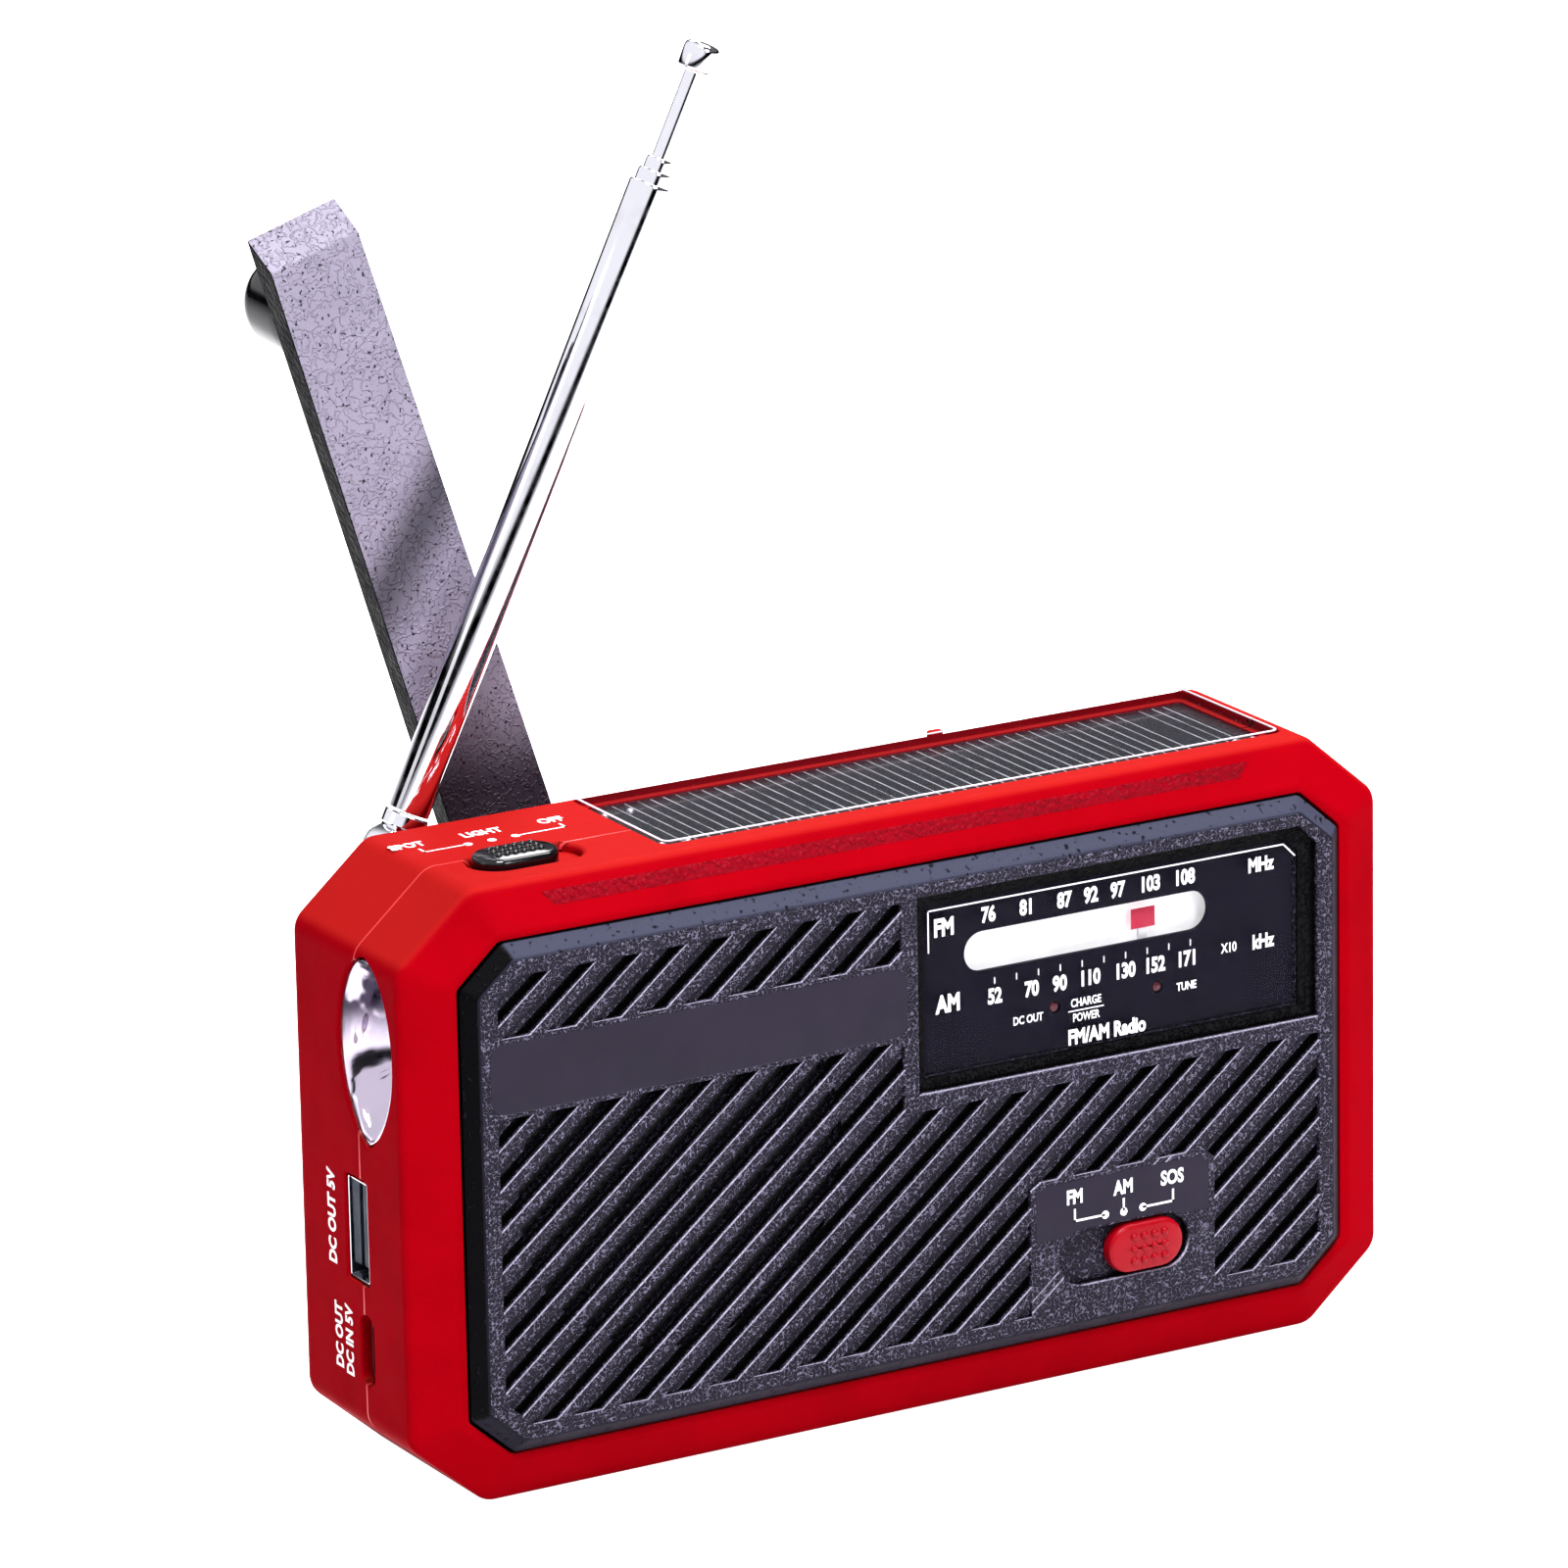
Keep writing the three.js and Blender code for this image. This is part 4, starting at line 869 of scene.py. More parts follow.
def make_studio():
    """A pale room that mirrors white on the left and dark behind, and five soft lights."""
    world = bpy.data.worlds.new("studio")
    bpy.context.scene.world = world
    world.use_nodes = True
    tree = world.node_tree
    direction = node(world, "TexCoord").outputs["Generated"]
    parts = node(world, "SeparateXYZ", {"Vector": direction})
    side = ramp(world, parts.outputs["X"], -0.25, 0.15, 1.0, 0.16)
    height = ramp(world, parts.outputs["Z"], 0.1, 0.2)
    mirrored = math_node(world, "MULTIPLY", side, height)
    rays = node(world, "LightPath")
    inputs = {"Factor": rays.outputs["Is Glossy Ray"], 2: 0.26, 3: mirrored}
    strength = node(world, "Mix", inputs)
    background = tree.nodes["Background"]
    background.inputs["Color"].default_value = (0.97, 0.97, 1.0, 1)
    tree.links.new(strength.outputs[0], background.inputs["Strength"])
    view = bpy.context.scene.view_settings
    view.view_transform = "Standard"
    view.look = "Medium High Contrast"
    make_light("key", (-0.15, -0.4, 1.0), (0, 0, 0.04), (0.3, 0.3), 11)
    make_light("front", (0.3, -1.3, 0.7), (0, 0, 0.05), (0.5, 0.5), 7)
    make_light("above", (0.45, 0.0, 0.95), (0.05, 0, 0.08), (0.6, 0.6), 7)
    make_light("left", (-1.1, 0.1, 0.35), (0, 0, 0.05), (0.4, 0.6), 0.6)
    make_light("back", (0.4, 0.9, 0.9), (0, 0, 0.08), (0.6, 0.5), 6)


def make_floor():
    size = 4.0
    data = bpy.data.meshes.new("floor")
    corners = [(-size, -size, 0), (size, -size, 0), (size, size, 0), (-size, size, 0)]
    data.from_pydata(corners, [], [(0, 1, 2, 3)])
    floor = bpy.data.objects.new("floor", data)
    link(floor)
    made = new_material("pale_floor", srgb(240, 240, 242), 0.8, Emission_Color=(1, 1, 1, 1))
    tint(made, ramp(made, noise(made, 200), 0.4, 0.8), srgb(236, 236, 239))
    bounced = node(made, "LightPath").outputs["Is Diffuse Ray"]
    seen = ramp(made, bounced, 0, 1, 0.8, 0.0)
    reflected = math_node(made, "MULTIPLY", seen, height_along(made, "X", -160, -80, 0.1, 1.0))
    camera_ray = node(made, "LightPath").outputs["Is Camera Ray"]
    glow = math_node(made, "MAXIMUM", reflected, ramp(made, camera_ray, 0, 1, 0.0, 0.8))
    made.node_tree.links.new(glow, shader_of(made).inputs["Emission Strength"])
    data.materials.append(made)


make_camera()
make_studio()
make_floor()

# ---------------------------------------------------------------- case shells


def side_cutters():
    return [
        pit(torch_outline(GAP), "X", -HALF_W, -1, WALL + 1.5, 0.45),
        pit(rounded_rect(*widen(USB_A, GAP), 0.5), "X", -HALF_W, -1, 12, 0.3),
        pit(stadium(*widen(USB_C, GAP)), "X", -HALF_W, -1, 12, 0.3),
    ]


def top_cutters():
    return [
        pit(stadium(*LIGHT_SLOT), "Z", HALF_H, 1, 1.2, 0.9),
        box_cutter(*LIGHT_HOLE, -5, -2.4, HALF_H - 4, HALF_H),
        pit(rounded_rect(*SOLAR, 1.4), "Z", HALF_H, 1, 1.3, 0.35),
        slab(rounded_rect(*widen(SOLAR, -1.2), 0.8), "Z", HALF_H - WALL - 1, HALF_H + 1),
    ]


def wheel_cutters():
    cutters = []
    for x, z, r in (TUNING, VOLUME):
        reach = sqrt(r ** 2 - (HALF_W - WALL - x) ** 2) + 1
        outline = rounded_rect(WHEEL_Y[0] - 1, WHEEL_Y[1] + 0.6, z - reach, z + reach, 0.8)
        cutters.append(pit(outline, "X", HALF_W, 1, 4.5, 0.35))
    return cutters


def shell_cutters():
    return side_cutters() + top_cutters() + wheel_cutters()


def front_shell():
    opening = octagon(PANEL_BASE[0] + GAP, PANEL_BASE[1] + GAP, PANEL_BASE[2], PANEL_BASE[3], 1.2)
    seam = Y_PARTING - GAP / 2
    rows = [(0.12, seam), (0.03, seam - 0.04), (0, seam - 0.12), (0, Y_FRONT_SIDE)]
    for k in range(1, 7):
        t = k / 6
        rows.append((t * t * BEVEL_START[0], bend(Y_FRONT_SIDE, Y_BEVEL, BEVEL_START[1], t)))
    rows += [BEVEL_END, (5.5, -14.68), (5.8, -14.78)]
    rings = [ring(case_outline(inset, CORNER_R - 0.3 * inset), "Y", y) for inset, y in rows]
    rings.append(ring(case_outline(6.1, 1.7), "Y", Y_LIP))
    rings += [ring(grow(opening, 0.25), "Y", Y_LIP), ring(grow(opening, 0.07), "Y", Y_LIP + 0.07)]
    rings += [ring(opening, "Y", Y_LIP + 0.25), ring(opening, "Y", -11)]
    rings += [ring(case_outline(WALL, 2), "Y", -10.9), ring(case_outline(WALL, 2), "Y", seam)]
    obj = piece("case_front_moulding", lambda mesh: add_skin(mesh, rings, loop=True))
    carve(obj, shell_cutters())
    profile = [(0, -8.6), (3.6, -8.6), (3.6, seam), (1.5, seam), (1.5, -7.4), (0, -7.4)]
    join(obj, [piece("boss", lambda mesh: add_turned(mesh, profile, "Y", x, z, 24)) for x, z in SCREWS])
    place_piece(obj, RED, "red_shell", "case", "front_shell")
    even_shading(obj)


def grip_strip():
    """The textured band on the top bevel of the front shell."""
    slope = (BEVEL_END[1] - BEVEL_START[1]) / (BEVEL_END[0] - BEVEL_START[0])
    rings = []
    for rise, inset in ((-0.6, 0.0), (0.02, 0.0), (0.06, 0.12)):
        x0, z0 = GRIP_LOWER[0] - inset, GRIP_LOWER[1] + inset
        x1, z1 = GRIP_UPPER[0] - inset, GRIP_UPPER[1] - inset
        outline = [(-x1, z1), (-x0, z0), (x0, z0), (x1, z1)]
        start = HALF_H - BEVEL_START[0]
        rings.append([(x, BEVEL_START[1] + slope * (start - z) - rise, z) for x, z in outline])
    obj = piece("grip_strip", lambda mesh: add_skin(mesh, rings))
    extra_piece(obj, RED_GRIP, "case")


def seam_bead():
    """The tongue between the two shells, in a lighter red that paints a thin highlight line along the
    seam.
    """
    rows = ((0.9, -1.7), (0.07, -1.7), (0.03, Y_PARTING), (0.07, -0.3), (0.9, -0.3))
    rings = [ring(case_outline(inset, CORNER_R - 0.2 * inset), "Y", y) for inset, y in rows]
    obj = piece("seam_bead", lambda mesh: add_skin(mesh, rings, loop=True))
    extra_piece(carve(obj, shell_cutters()), RED_SEAM_HIGHLIGHT, "case")


def recess_cutters(extra, lip):
    """The channel that the folded crank lies in, the hub's well and the knob's pocket."""
    floor = RECESS_FLOOR - extra * 0.9
    channel = rounded_rect(HUB_X, 90, HUB_Z - CHANNEL_HALF - extra, HUB_Z + CHANNEL_HALF + extra, 0.6)
    pocket_depth = RECESS_FLOOR - POCKET_FLOOR + extra * 0.9
    return [
        pit(channel, "Y", Y_BACK, 1, Y_BACK - floor, lip),
        pit(circle(HUB_X, HUB_Z, CHANNEL_END_R + extra, 64), "Y", Y_BACK, 1, Y_BACK - floor, lip),
        slab(circle(HUB_X, HUB_Z, HUB_WELL_R + extra, 64), "Y", HUB_FLOOR - extra * 0.9, 30),
        pit(circle(POCKET_X, HUB_Z, POCKET_R + extra), "Y", RECESS_FLOOR, 1, pocket_depth, lip),
    ]


def rear_rings():
    seam = Y_PARTING + GAP / 2
    rows = [(0.12, seam), (0.03, seam + 0.04), (0, seam + 0.12), (0, Y_REAR_SIDE - 0.1)]
    for cosine, sine in quarter_turn(7, 1):
        rows.append((2.0 * (1 - cosine), Y_REAR_SIDE + (Y_SIDE_END - Y_REAR_SIDE) * sine))
    rings = [ring(case_outline(inset, CORNER_R - 0.2 * inset), "Y", y) for inset, y in rows]
    spread = [size + more for size, more in zip(BACK_FOOT, (0.6, -0.4, 0.6, 0))]
    rings.append(ring(back_outline(*spread, 3), "Y", Y_SIDE_END))
    rings.append(ring(back_outline(*BACK_FOOT, 3), "Y", Y_SIDE_END + 0.5))
    for k in range(9):
        shape = [bend(*three, k / 8) for three in zip(BACK_LOW, BACK_MIDDLE, BACK_HIGH)]
        rings.append(ring(back_outline(*shape, 3), "Y", bend(24.0, Y_BACK, Y_BACK, k / 8)))
    return rings


def rear_shell():
    obj = piece("case_rear_moulding", lambda mesh: add_skin(mesh, rear_rings()))
    inner_rings = [ring(case_outline(WALL, 2), "Y", y) for y in (-2, 14.5)]
    inner_rings.append(ring(back_outline(66.8, -35.4, 29.8, 8.6, 2), "Y", 14.6))
    inner_rings.append(ring(back_outline(64, -33.2, 29, 8, 2), "Y", Y_BACK - WALL))
    inner = piece("inner", lambda mesh: add_skin(mesh, inner_rings))
    door_end = DOOR[1] + DOOR_TRAVEL + GAP
    seat = box_cutter(DOOR[0] - 2, door_end + 2, 22.4, 30, DOOR[2] - 1.5, DOOR[3] + 2)
    carve(inner, recess_cutters(1.8, 0.05) + [seat])
    doorway = rounded_rect(DOOR[0] - GAP, door_end, DOOR[2] - GAP, DOOR[3] + GAP, 1)
    bay = box_cutter(DOOR[0] + 1.5, DOOR[1] - 1.5, 20, 30, DOOR[2] + 1.5, DOOR[3] - 1.5)
    cutters = [inner] + recess_cutters(0, 0.5) + [pit(doorway, "Y", Y_BACK, 1, 2, 0.25), bay]
    for x, z in SCREWS:
        cutters.append(pit(circle(x, z, SCREW_HOLE_R, 32), "Y", Y_SIDE_END, 1, SCREW_HOLE_DEPTH, 0.3))
    cutters.append(slab(circle(HUB_X, HUB_Z, 2.65, 32), "Y", 10, 30))
    cutters.append(slab(circle(ANTENNA[0], ANTENNA[2], 1.9, 32), "Y", 12, 18))
    carve(obj, cutters + shell_cutters())
    nub = rounded_rect(21.5, 23.6, 15.6, 16.9, 0.5)
    join(obj, [piece("nub", lambda mesh: add_slab(mesh, nub, "Z", 36, HALF_H + 0.1, 0.3))])
    place_piece(obj, RED, "red_shell", "case", "rear_shell")
    even_shading(obj)


def battery_door():
    top = DOOR[3]
    door = rounded_rect(*DOOR, 0.9)
    obj = piece("battery_door_moulding", lambda mesh: add_slab(mesh, door, "Y", 24.3, Y_BACK, 0.3))
    carve(obj, [pit(stadium(-24, -10, top - 5.4, top - 1.8), "Y", Y_BACK, 1, 0.7, 0.25)])
    for rise in (0, 1.1, 2.2):
        ridge = stadium(-22.5, -11.5, top - 4.9 + rise, top - 4.5 + rise)
        join(obj, [piece("ridge", lambda mesh: add_slab(mesh, ridge, "Y", 25.2, 25.75, 0.1))])
    place_piece(obj, RED, "red_shell", "battery_door", "battery_door")
    even_shading(obj)


front_shell()
grip_strip()
seam_bead()
rear_shell()
battery_door()

# ---------------------------------------------------------------- front panel


def rib_outlines(width, zone, inset=0.0):
    """Where the diagonal strips cross a zone: one outline for each strip, or two where it is parted."""
    slant = hypot(1, RIB_SLOPE)
    found = []
    for n in range(RIB_COUNT):
        start = RIB_FIRST - n * RIB_STEP
        low = start + inset * slant
        high = low + (width - 2 * inset) * slant
        halves = [zone]
        if zone is LOWER_RIBS and MODE_SPLIT_BAND[0] < start < MODE_SPLIT_BAND[1]:
            halves = [clip(zone, -1, 0, MODE_SPLIT_X), clip(zone, 1, 0, -MODE_SPLIT_X)]
        for half in halves:
            strip = clip(half, -RIB_SLOPE, 1, -low)
            if len(strip) > 2:
                strip = clip(strip, RIB_SLOPE, -1, high)
            if len(strip) > 2 and area(strip) > LEAST_STRIP_AREA:
                found.append(strip)
    return found


def panel_pit(outline, depth, lip):
    return pit(outline, "Y", Y_PANEL, -1, depth, lip)


def panel_cutters():
    cutters = []
    for zone in (UPPER_RIBS, LOWER_RIBS):
        steps = rib_outlines(STEP_W, zone)
        grooves = rib_outlines(GROOVE_W, zone, 0.05)
        cutters += [panel_pit(outline, STEP_DEPTH, 0.2) for outline in steps]
        cutters += [panel_pit(outline, GROOVE_DEPTH, 0.26) for outline in grooves]
    disc = clip(circle(SPEAKER_X, 0, SPEAKER_R, 72), 0, -1, SPEAKER_TOP)
    slots = rib_outlines(SLOT_W, disc, 0.02)
    return cutters + [panel_pit(outline, 4, 0.26) for outline in slots]


def grille():
    rings = []
    rows = [(-0.3, Y_PANEL), (-0.08, -16.47), (0.08, -16.36), (0.25, -16.08), (1, Y_LIP), (1, -10.6)]
    for t, y in rows:
        size = [p + (q - p) * t for p, q in zip(PANEL, PANEL_BASE)]
        rings.append(ring(octagon(*size, 1.3), "Y", y))
    flange = octagon(67, 36, 7, 6.2, 1)
    hollow = octagon(61, 29.8, 4, 3.6, 1)
    rings += [ring(flange, "Y", -10.5), ring(flange, "Y", -9.4)]
    rings += [ring(hollow, "Y", -9.4), ring(hollow, "Y", PLATE_BACK)]
    obj = piece("grille_moulding", lambda mesh: add_skin(mesh, rings))
    cutters = panel_cutters()
    cutters.append(panel_pit(rounded_rect(*LABEL, 2), 1.2, 0.15))
    cutters.append(panel_pit(cut_rect(*DIAL, DIAL_CUT), 1.0, 0.35))
    cutters.append(slab(grow(cut_rect(*WINDOW, WINDOW_CUT), GAP), "Y", -20, -10))
    cutters.append(panel_pit(stadium(*MODE_SLOT), SLOT_FLOOR, 0.3))
    cutters.append(box_cutter(*MODE_HOLE, -18, -10, -24.2, -21.5))
    carve(obj, cutters, sharp=38)
    place_piece(obj, SLATE, "slate_panel", "case", "front_grille")
    obj.data.materials.append(BORDER)
    for face in obj.data.polygons:
        across = (abs(face.center.x) / MM - PANEL[0]) / PANEL[2]
        along = (abs(face.center.z / MM - HALF_H) - PANEL[1]) / PANEL[3]
        if max(across, along, across + along + 1) > -0.05:
            face.material_index = 1
    even_shading(obj)


def label_strip():
    outline = rounded_rect(*widen(LABEL, 0.1), 2)
    obj = piece("label_strip_inlay", lambda mesh: add_slab(mesh, outline, "Y", Y_LABEL, -15.6, 0.15))
    place_piece(obj, SMOOTH, "smooth_label", "case", "label_strip")


def mode_plate():
    """The smooth patch over the mode switch that carries its words."""
    outline = round_corners(MODE_PLATE, 0.3, 4)
    obj = piece("mode_plate", lambda mesh: add_slab(mesh, outline, "Y", Y_MODE_PLATE, -16.3, 0.03))
    carve(obj, [slab(grow(stadium(*MODE_SLOT), 0.35), "Y", -20, -10)])
    extra_piece(obj, SMOOTH, "case")


def dial():
    outline = cut_rect(*WINDOW, WINDOW_CUT)
    glass = piece("dial_glass", lambda mesh: add_slab(mesh, outline, "Y", Y_GLASS, -14.9, 0.18))
    place_piece(glass, CLEAR, "clear_plastic", "case", "dial_window")
    plate = piece("dial_plate_printed", lambda mesh: add_slab(mesh, outline, "Y", Y_DIAL, PLATE_BACK))
    holes = [slab(circle(x, LED_Z, 0.85, 24), "Y", -20, 0) for x in (CHARGE_LED_X, TUNE_LED_X)]
    carve(plate, [pit(stadium(*SCALE_SLOT), "Y", Y_DIAL, -1, 2, 0.2)] + holes)
    place_piece(plate, DIAL_BLACK, "gloss_black", "case", "dial_plate")
    for name, x in (("charge_led", CHARGE_LED_X), ("tune_led", TUNE_LED_X)):
        profile = [(0, -11), (0.7, -11), (0.7, -14.2), (0.6, -14.42), (0.35, -14.52), (0, -14.55)]
        led = piece(name + "_dome", lambda mesh: add_turned(mesh, profile, "Y", x, LED_Z, 20))
        place_piece(led, LED_RESIN, "led_resin", "case", name)


def pointer():
    """The pink blade of the pointer, and the pale carrier that slides it behind the scale's slot."""
    x0, x1, z0, z1 = POINTER

    def carrier(mesh):
        middle = (x0 + x1) / 2
        add_block(mesh, middle - 0.6, middle + 0.6, -13.4, -12.9, 13, z1 - 0.4, 0)
        add_block(mesh, middle - 3, middle + 3, -13.5, -9.6, 13, 15.4, 0.2)

    blade = piece("pointer_blade", lambda mesh: add_block(mesh, x0, x1, -13.5, -13.4, z0, z1, 0.04))
    place_piece(blade, POINTER_PINK, "pointer_pink", "tuning_pointer", "tuning_pointer")
    extra_piece(piece("pointer_carrier", carrier), WHITE_PLASTIC, "tuning_pointer")


def slider_knob(mesh, outline, axis, base, top, out, reach, crown):
    """A stadium-shaped slider with a rounded rim and a crowned top."""
    rings = [ring(outline, axis, base), ring(outline, axis, top - out * 0.7)]
    for cosine, sine in quarter_turn(5, 1):
        rings.append(ring(grow(outline, -0.6 * (1 - cosine)), axis, top - out * 0.7 * (1 - sine)))
    for k in range(1, 6):
        inset = 0.6 + (reach - 0.6) * k / 5
        rise = crown * (1 - (1 - k / 5) ** 2)
        rings.append(ring(grow(outline, -inset), axis, top + out * rise))
    add_skin(mesh, rings)


def dot_grid(mesh, axis, surface, out, middle, columns, rows, step, radius, height):
    """Columns by rows of raised dots, a step apart, about a middle."""
    for i in range(columns):
        for j in range(rows):
            a = middle[0] + (i - (columns - 1) / 2) * step[0]
            b = middle[1] + (j - (rows - 1) / 2) * step[1]
            add_dome(mesh, a, b, axis, surface, out * height, radius)


def mode_knob():
    def build(mesh):
        slider_knob(mesh, stadium(*MODE_KNOB), "Y", -15.3, -17.0, -1, 3.1, 0.22)
        dot_grid(mesh, "Y", -17.16, -1, (33.9, -22.85), 4, 3, (1.55, 1.6), 0.55, 0.42)
        add_block(mesh, *MODE_STEM, -15.4, -12.2, -23.8, -21.9, 0)

    place_piece(piece("mode_knob_cap", build), RED_KNOB, "red_knob", "mode_switch", "mode_switch_knob")


def light_knob():
    top = HALF_H + 1.0

    def build(mesh):
        slider_knob(mesh, stadium(*LIGHT_KNOB), "Z", HALF_H - 0.9, top, 1, 3.1, 0.2)
        dot_grid(mesh, "Z", top + 0.14, 1, (-50.25, -3.65), 6, 3, (1.2, 1.35), 0.45, 0.4)
        add_block(mesh, *LIGHT_STEM, -4.6, -2.8, HALF_H - 4.4, HALF_H - 0.8, 0)

    obj = piece("light_knob_cap", build)
    place_piece(obj, BLACK, "gloss_black", "light_switch", "light_switch_knob")


grille()
label_strip()
mode_plate()
dial()
pointer()
mode_knob()
light_knob()

# ---------------------------------------------------------------- lettering, printed lines and a painted edge highlight

INK = 0.015
LETTER_FRAMES = {
    "front": ((1, 0, 0), (0, 0, 1), (0, -1, 0)),
    "top": ((1, 0, 0), (0, 1, 0), (0, 0, 1)),
    "left": ((0, 0, 1), (0, 1, 0), (-1, 0, 0)),
}


def word_mesh(text, height, squeeze, weight):
    """Flat letters with capitals of the height, thickened by the weight where they are large."""
    curve = bpy.data.curves.new("word", "FONT")
    curve.body = text
    curve.align_x = "CENTER"
    curve.align_y = "CENTER"
    curve.size = height / 0.72
    curve.offset = weight * max(height - 0.9, 0.35)
    curve.resolution_u = 3
    curve.extrude = INK
    obj = bpy.data.objects.new("word", curve)
    link(obj)
    data = finished_mesh(obj)
    data.transform(Matrix.Diagonal((squeeze, 1, 1, 1)))
    bpy.data.objects.remove(obj)
    return data


def lettering(name, face, depth, words, lines=(), dots=(), width=0.3, squeeze=0.76, weight=0.1):
    """One printed piece: words as (text, a, b, height), strokes as point rows, dots as (a, b, r)."""
    right, up, out = [Vector(v) for v in LETTER_FRAMES[face]]
    turn = Matrix((right, up, out)).transposed().to_4x4()
    mesh = bmesh.new()
    for text, a, b, height in words:
        data = word_mesh(text, height, squeeze, weight)
        data.transform(turn @ Matrix.Translation((a, b, 0)))
        mesh.from_mesh(data)
        bpy.data.meshes.remove(data)
    start = len(mesh.verts)
    for row in lines:
        for p, q in zip(row, row[1:]):
            a, b = Vector(p), Vector(q)
            side = Vector((a.y - b.y, b.x - a.x)).normalized() * width / 2
            along = (b - a).normalized() * width / 2
            corners = [a - along - side, b + along - side, b + along + side, a - along + side]
            add_skin(mesh, [ring(corners, "Z", z) for z in (-INK, INK)])
    for a, b, r in dots:
        add_turned(mesh, [(r, -INK), (r, INK)], "Z", a, b, 24)
    mesh.verts.ensure_lookup_table()
    for v in mesh.verts[start:]:
        v.co = turn @ v.co
    for v in mesh.verts:
        v.co = v.co + out * depth
    return extra_piece(to_object(name, mesh), PRINT, "case")


def dial_print():
    fm_x = (11, 16.7, 22.3, 26.3, 30.3, 35.2, 40.4)
    fm = ("76", "81", "87", "92", "97", "103", "108")
    am_x = (11.8, 17.3, 21.5, 26, 31.3, 35.8, 40.7)
    am = ("52", "70", "90", "110", "130", "152", "171")
    words = [("FM", 4.4, 24.9, 2.3), ("AM", 4.9, 14.7, 2.3)]
    words += [("MHz", 52, 25.3, 1.9), ("kHz", 52.3, 14.9, 1.9)]
    words += [(text, x, 25.5, 2.0) for text, x in zip(fm, fm_x)]
    words += [(text, x, 14.5, 2.0) for text, x in zip(am, am_x)]
    words += [("X10", 47.1, 14.9, 1.3), ("FM/AM Radio", 28.5, 6.9, 2.0), ("TUNE", 40.6, 10.9, 1.1)]
    words += [("DC OUT", 16.7, 10.6, 1.1), ("CHARGE", 25.4, 11.5, 1.1), ("POWER", 25.4, 9.5, 1.1)]
    ticks = [11.8 + 3.27 * k for k in range(10)]
    lines = [[(x, 16.3), (x, 17.0)] for x in ticks] + [[(22.8, 10.5), (28, 10.5)]]
    lettering("dial_numbers", "front", 0.02 - Y_GLASS, words, lines, width=0.16)
    x0, x1, z0, z1 = WINDOW
    # A white line along the window's left and top edges and its cut corner paints the highlight on the
    # pane's edge.
    edge = [[(x0 + 0.3, 22), (x0 + 0.3, z1 - 0.25), (x1 - 2.1, z1 - 0.25), (x1 - 0.4, z1 - 2)]]
    lettering("dial_edge_highlight", "front", -Y_GLASS, [], edge, width=0.2)


def mode_print():
    words = [("FM", 23, -14.4, 1.9), ("AM", 30.4, -14.4, 1.9), ("SOS", 37.8, -14.4, 1.9)]
    lines = [[(23, -16.1), (23, -17.6), (27.4, -17.6)], [(30.4, -16.0), (30.4, -17.4)]]
    lines.append([(33.4, -17.6), (37.9, -17.6), (37.9, -16.1)])
    dots = [(27.6, -17.6, 0.55), (30.4, -17.7, 0.55), (33.3, -17.6, 0.55)]
    lettering("mode_words", "front", 0.02 - Y_MODE_PLATE, words, lines, dots)


def light_print():
    words = [("SPOT", -59.2, 8.2, 1.9), ("LIGHT", -48.6, 8.2, 1.9), ("OFF", -38.7, 8.2, 1.9)]
    lines = [[(-58.5, 6.2), (-58.5, 4.7), (-52.6, 4.7)], [(-45.4, 4.7), (-38.5, 4.7), (-38.5, 6.2)]]
    dots = [(-52.4, 4.7, 0.6), (-49, 4.7, 0.6), (-45.6, 4.7, 0.6)]
    lettering("light_words", "top", HALF_H + 0.02, words, lines, dots)


def port_print():
    words = [("DC OUT 5V", -5.8, 6.9, 2.0), ("DC OUT", -21.3, 5.9, 1.9), ("DC IN 5V", -21.3, 3.1, 1.9)]
    lettering("port_words", "left", HALF_W + 0.02, words, squeeze=0.85)


dial_print()
mode_print()
light_print()
port_print()

# ---------------------------------------------------------------- solar panel, torch and sockets


def solar():
    x0, x1, y0, y1 = SOLAR
    cover = rounded_rect(*widen(SOLAR, -GAP), 1.1)
    glass = piece("solar_glass", lambda mesh: add_slab(mesh, cover, "Z", HALF_H - 1, HALF_H + 0.15, 0.2))
    place_piece(glass, CLEAR, "clear_plastic", "case", "solar_cover")
    level = HALF_H - 1.4
    board = rounded_rect(x0 + 1.5, x1 - 1.5, y0 + 1.5, 13.9, 0.4)
    plate = piece("solar_board", lambda mesh: add_slab(mesh, board, "Z", level - 1.8, level))
    place_piece(plate, SOLAR_CELLS, "solar_cells", "case", "solar_panel")

    def build(mesh):
        strips = [-27 + 1.88 * k for k in range(41)] + [52, 54, 55.7]
        for x in strips:
            add_block(mesh, x - 0.09, x + 0.09, -6.9, 13.4, level - 0.02, level + 0.04, 0)
        for x, y in ((-29.7, 10.4), (-26, 10.4), (-30, -4.9), (-26.3, -4.9), (54.8, -5.7), (57.4, -5.9)):
            add_dome(mesh, x, y, "Z", level, 0.35, 0.55, 16)

    extra_piece(piece("solar_conductors", build), SILVER_LINE, "case")
    # A thin pale ring along the cover's edge is a painted highlight.
    rows = ((0, 0.08), (0, 0.2), (-0.3, 0.22), (-0.3, 0.08))
    rim = [ring(grow(cover, inset), "Z", HALF_H + rise) for inset, rise in rows]
    edge = piece("solar_edge_highlight", lambda mesh: add_skin(mesh, rim, loop=True))
    extra_piece(edge, PALE_EDGE_HIGHLIGHT, "case")


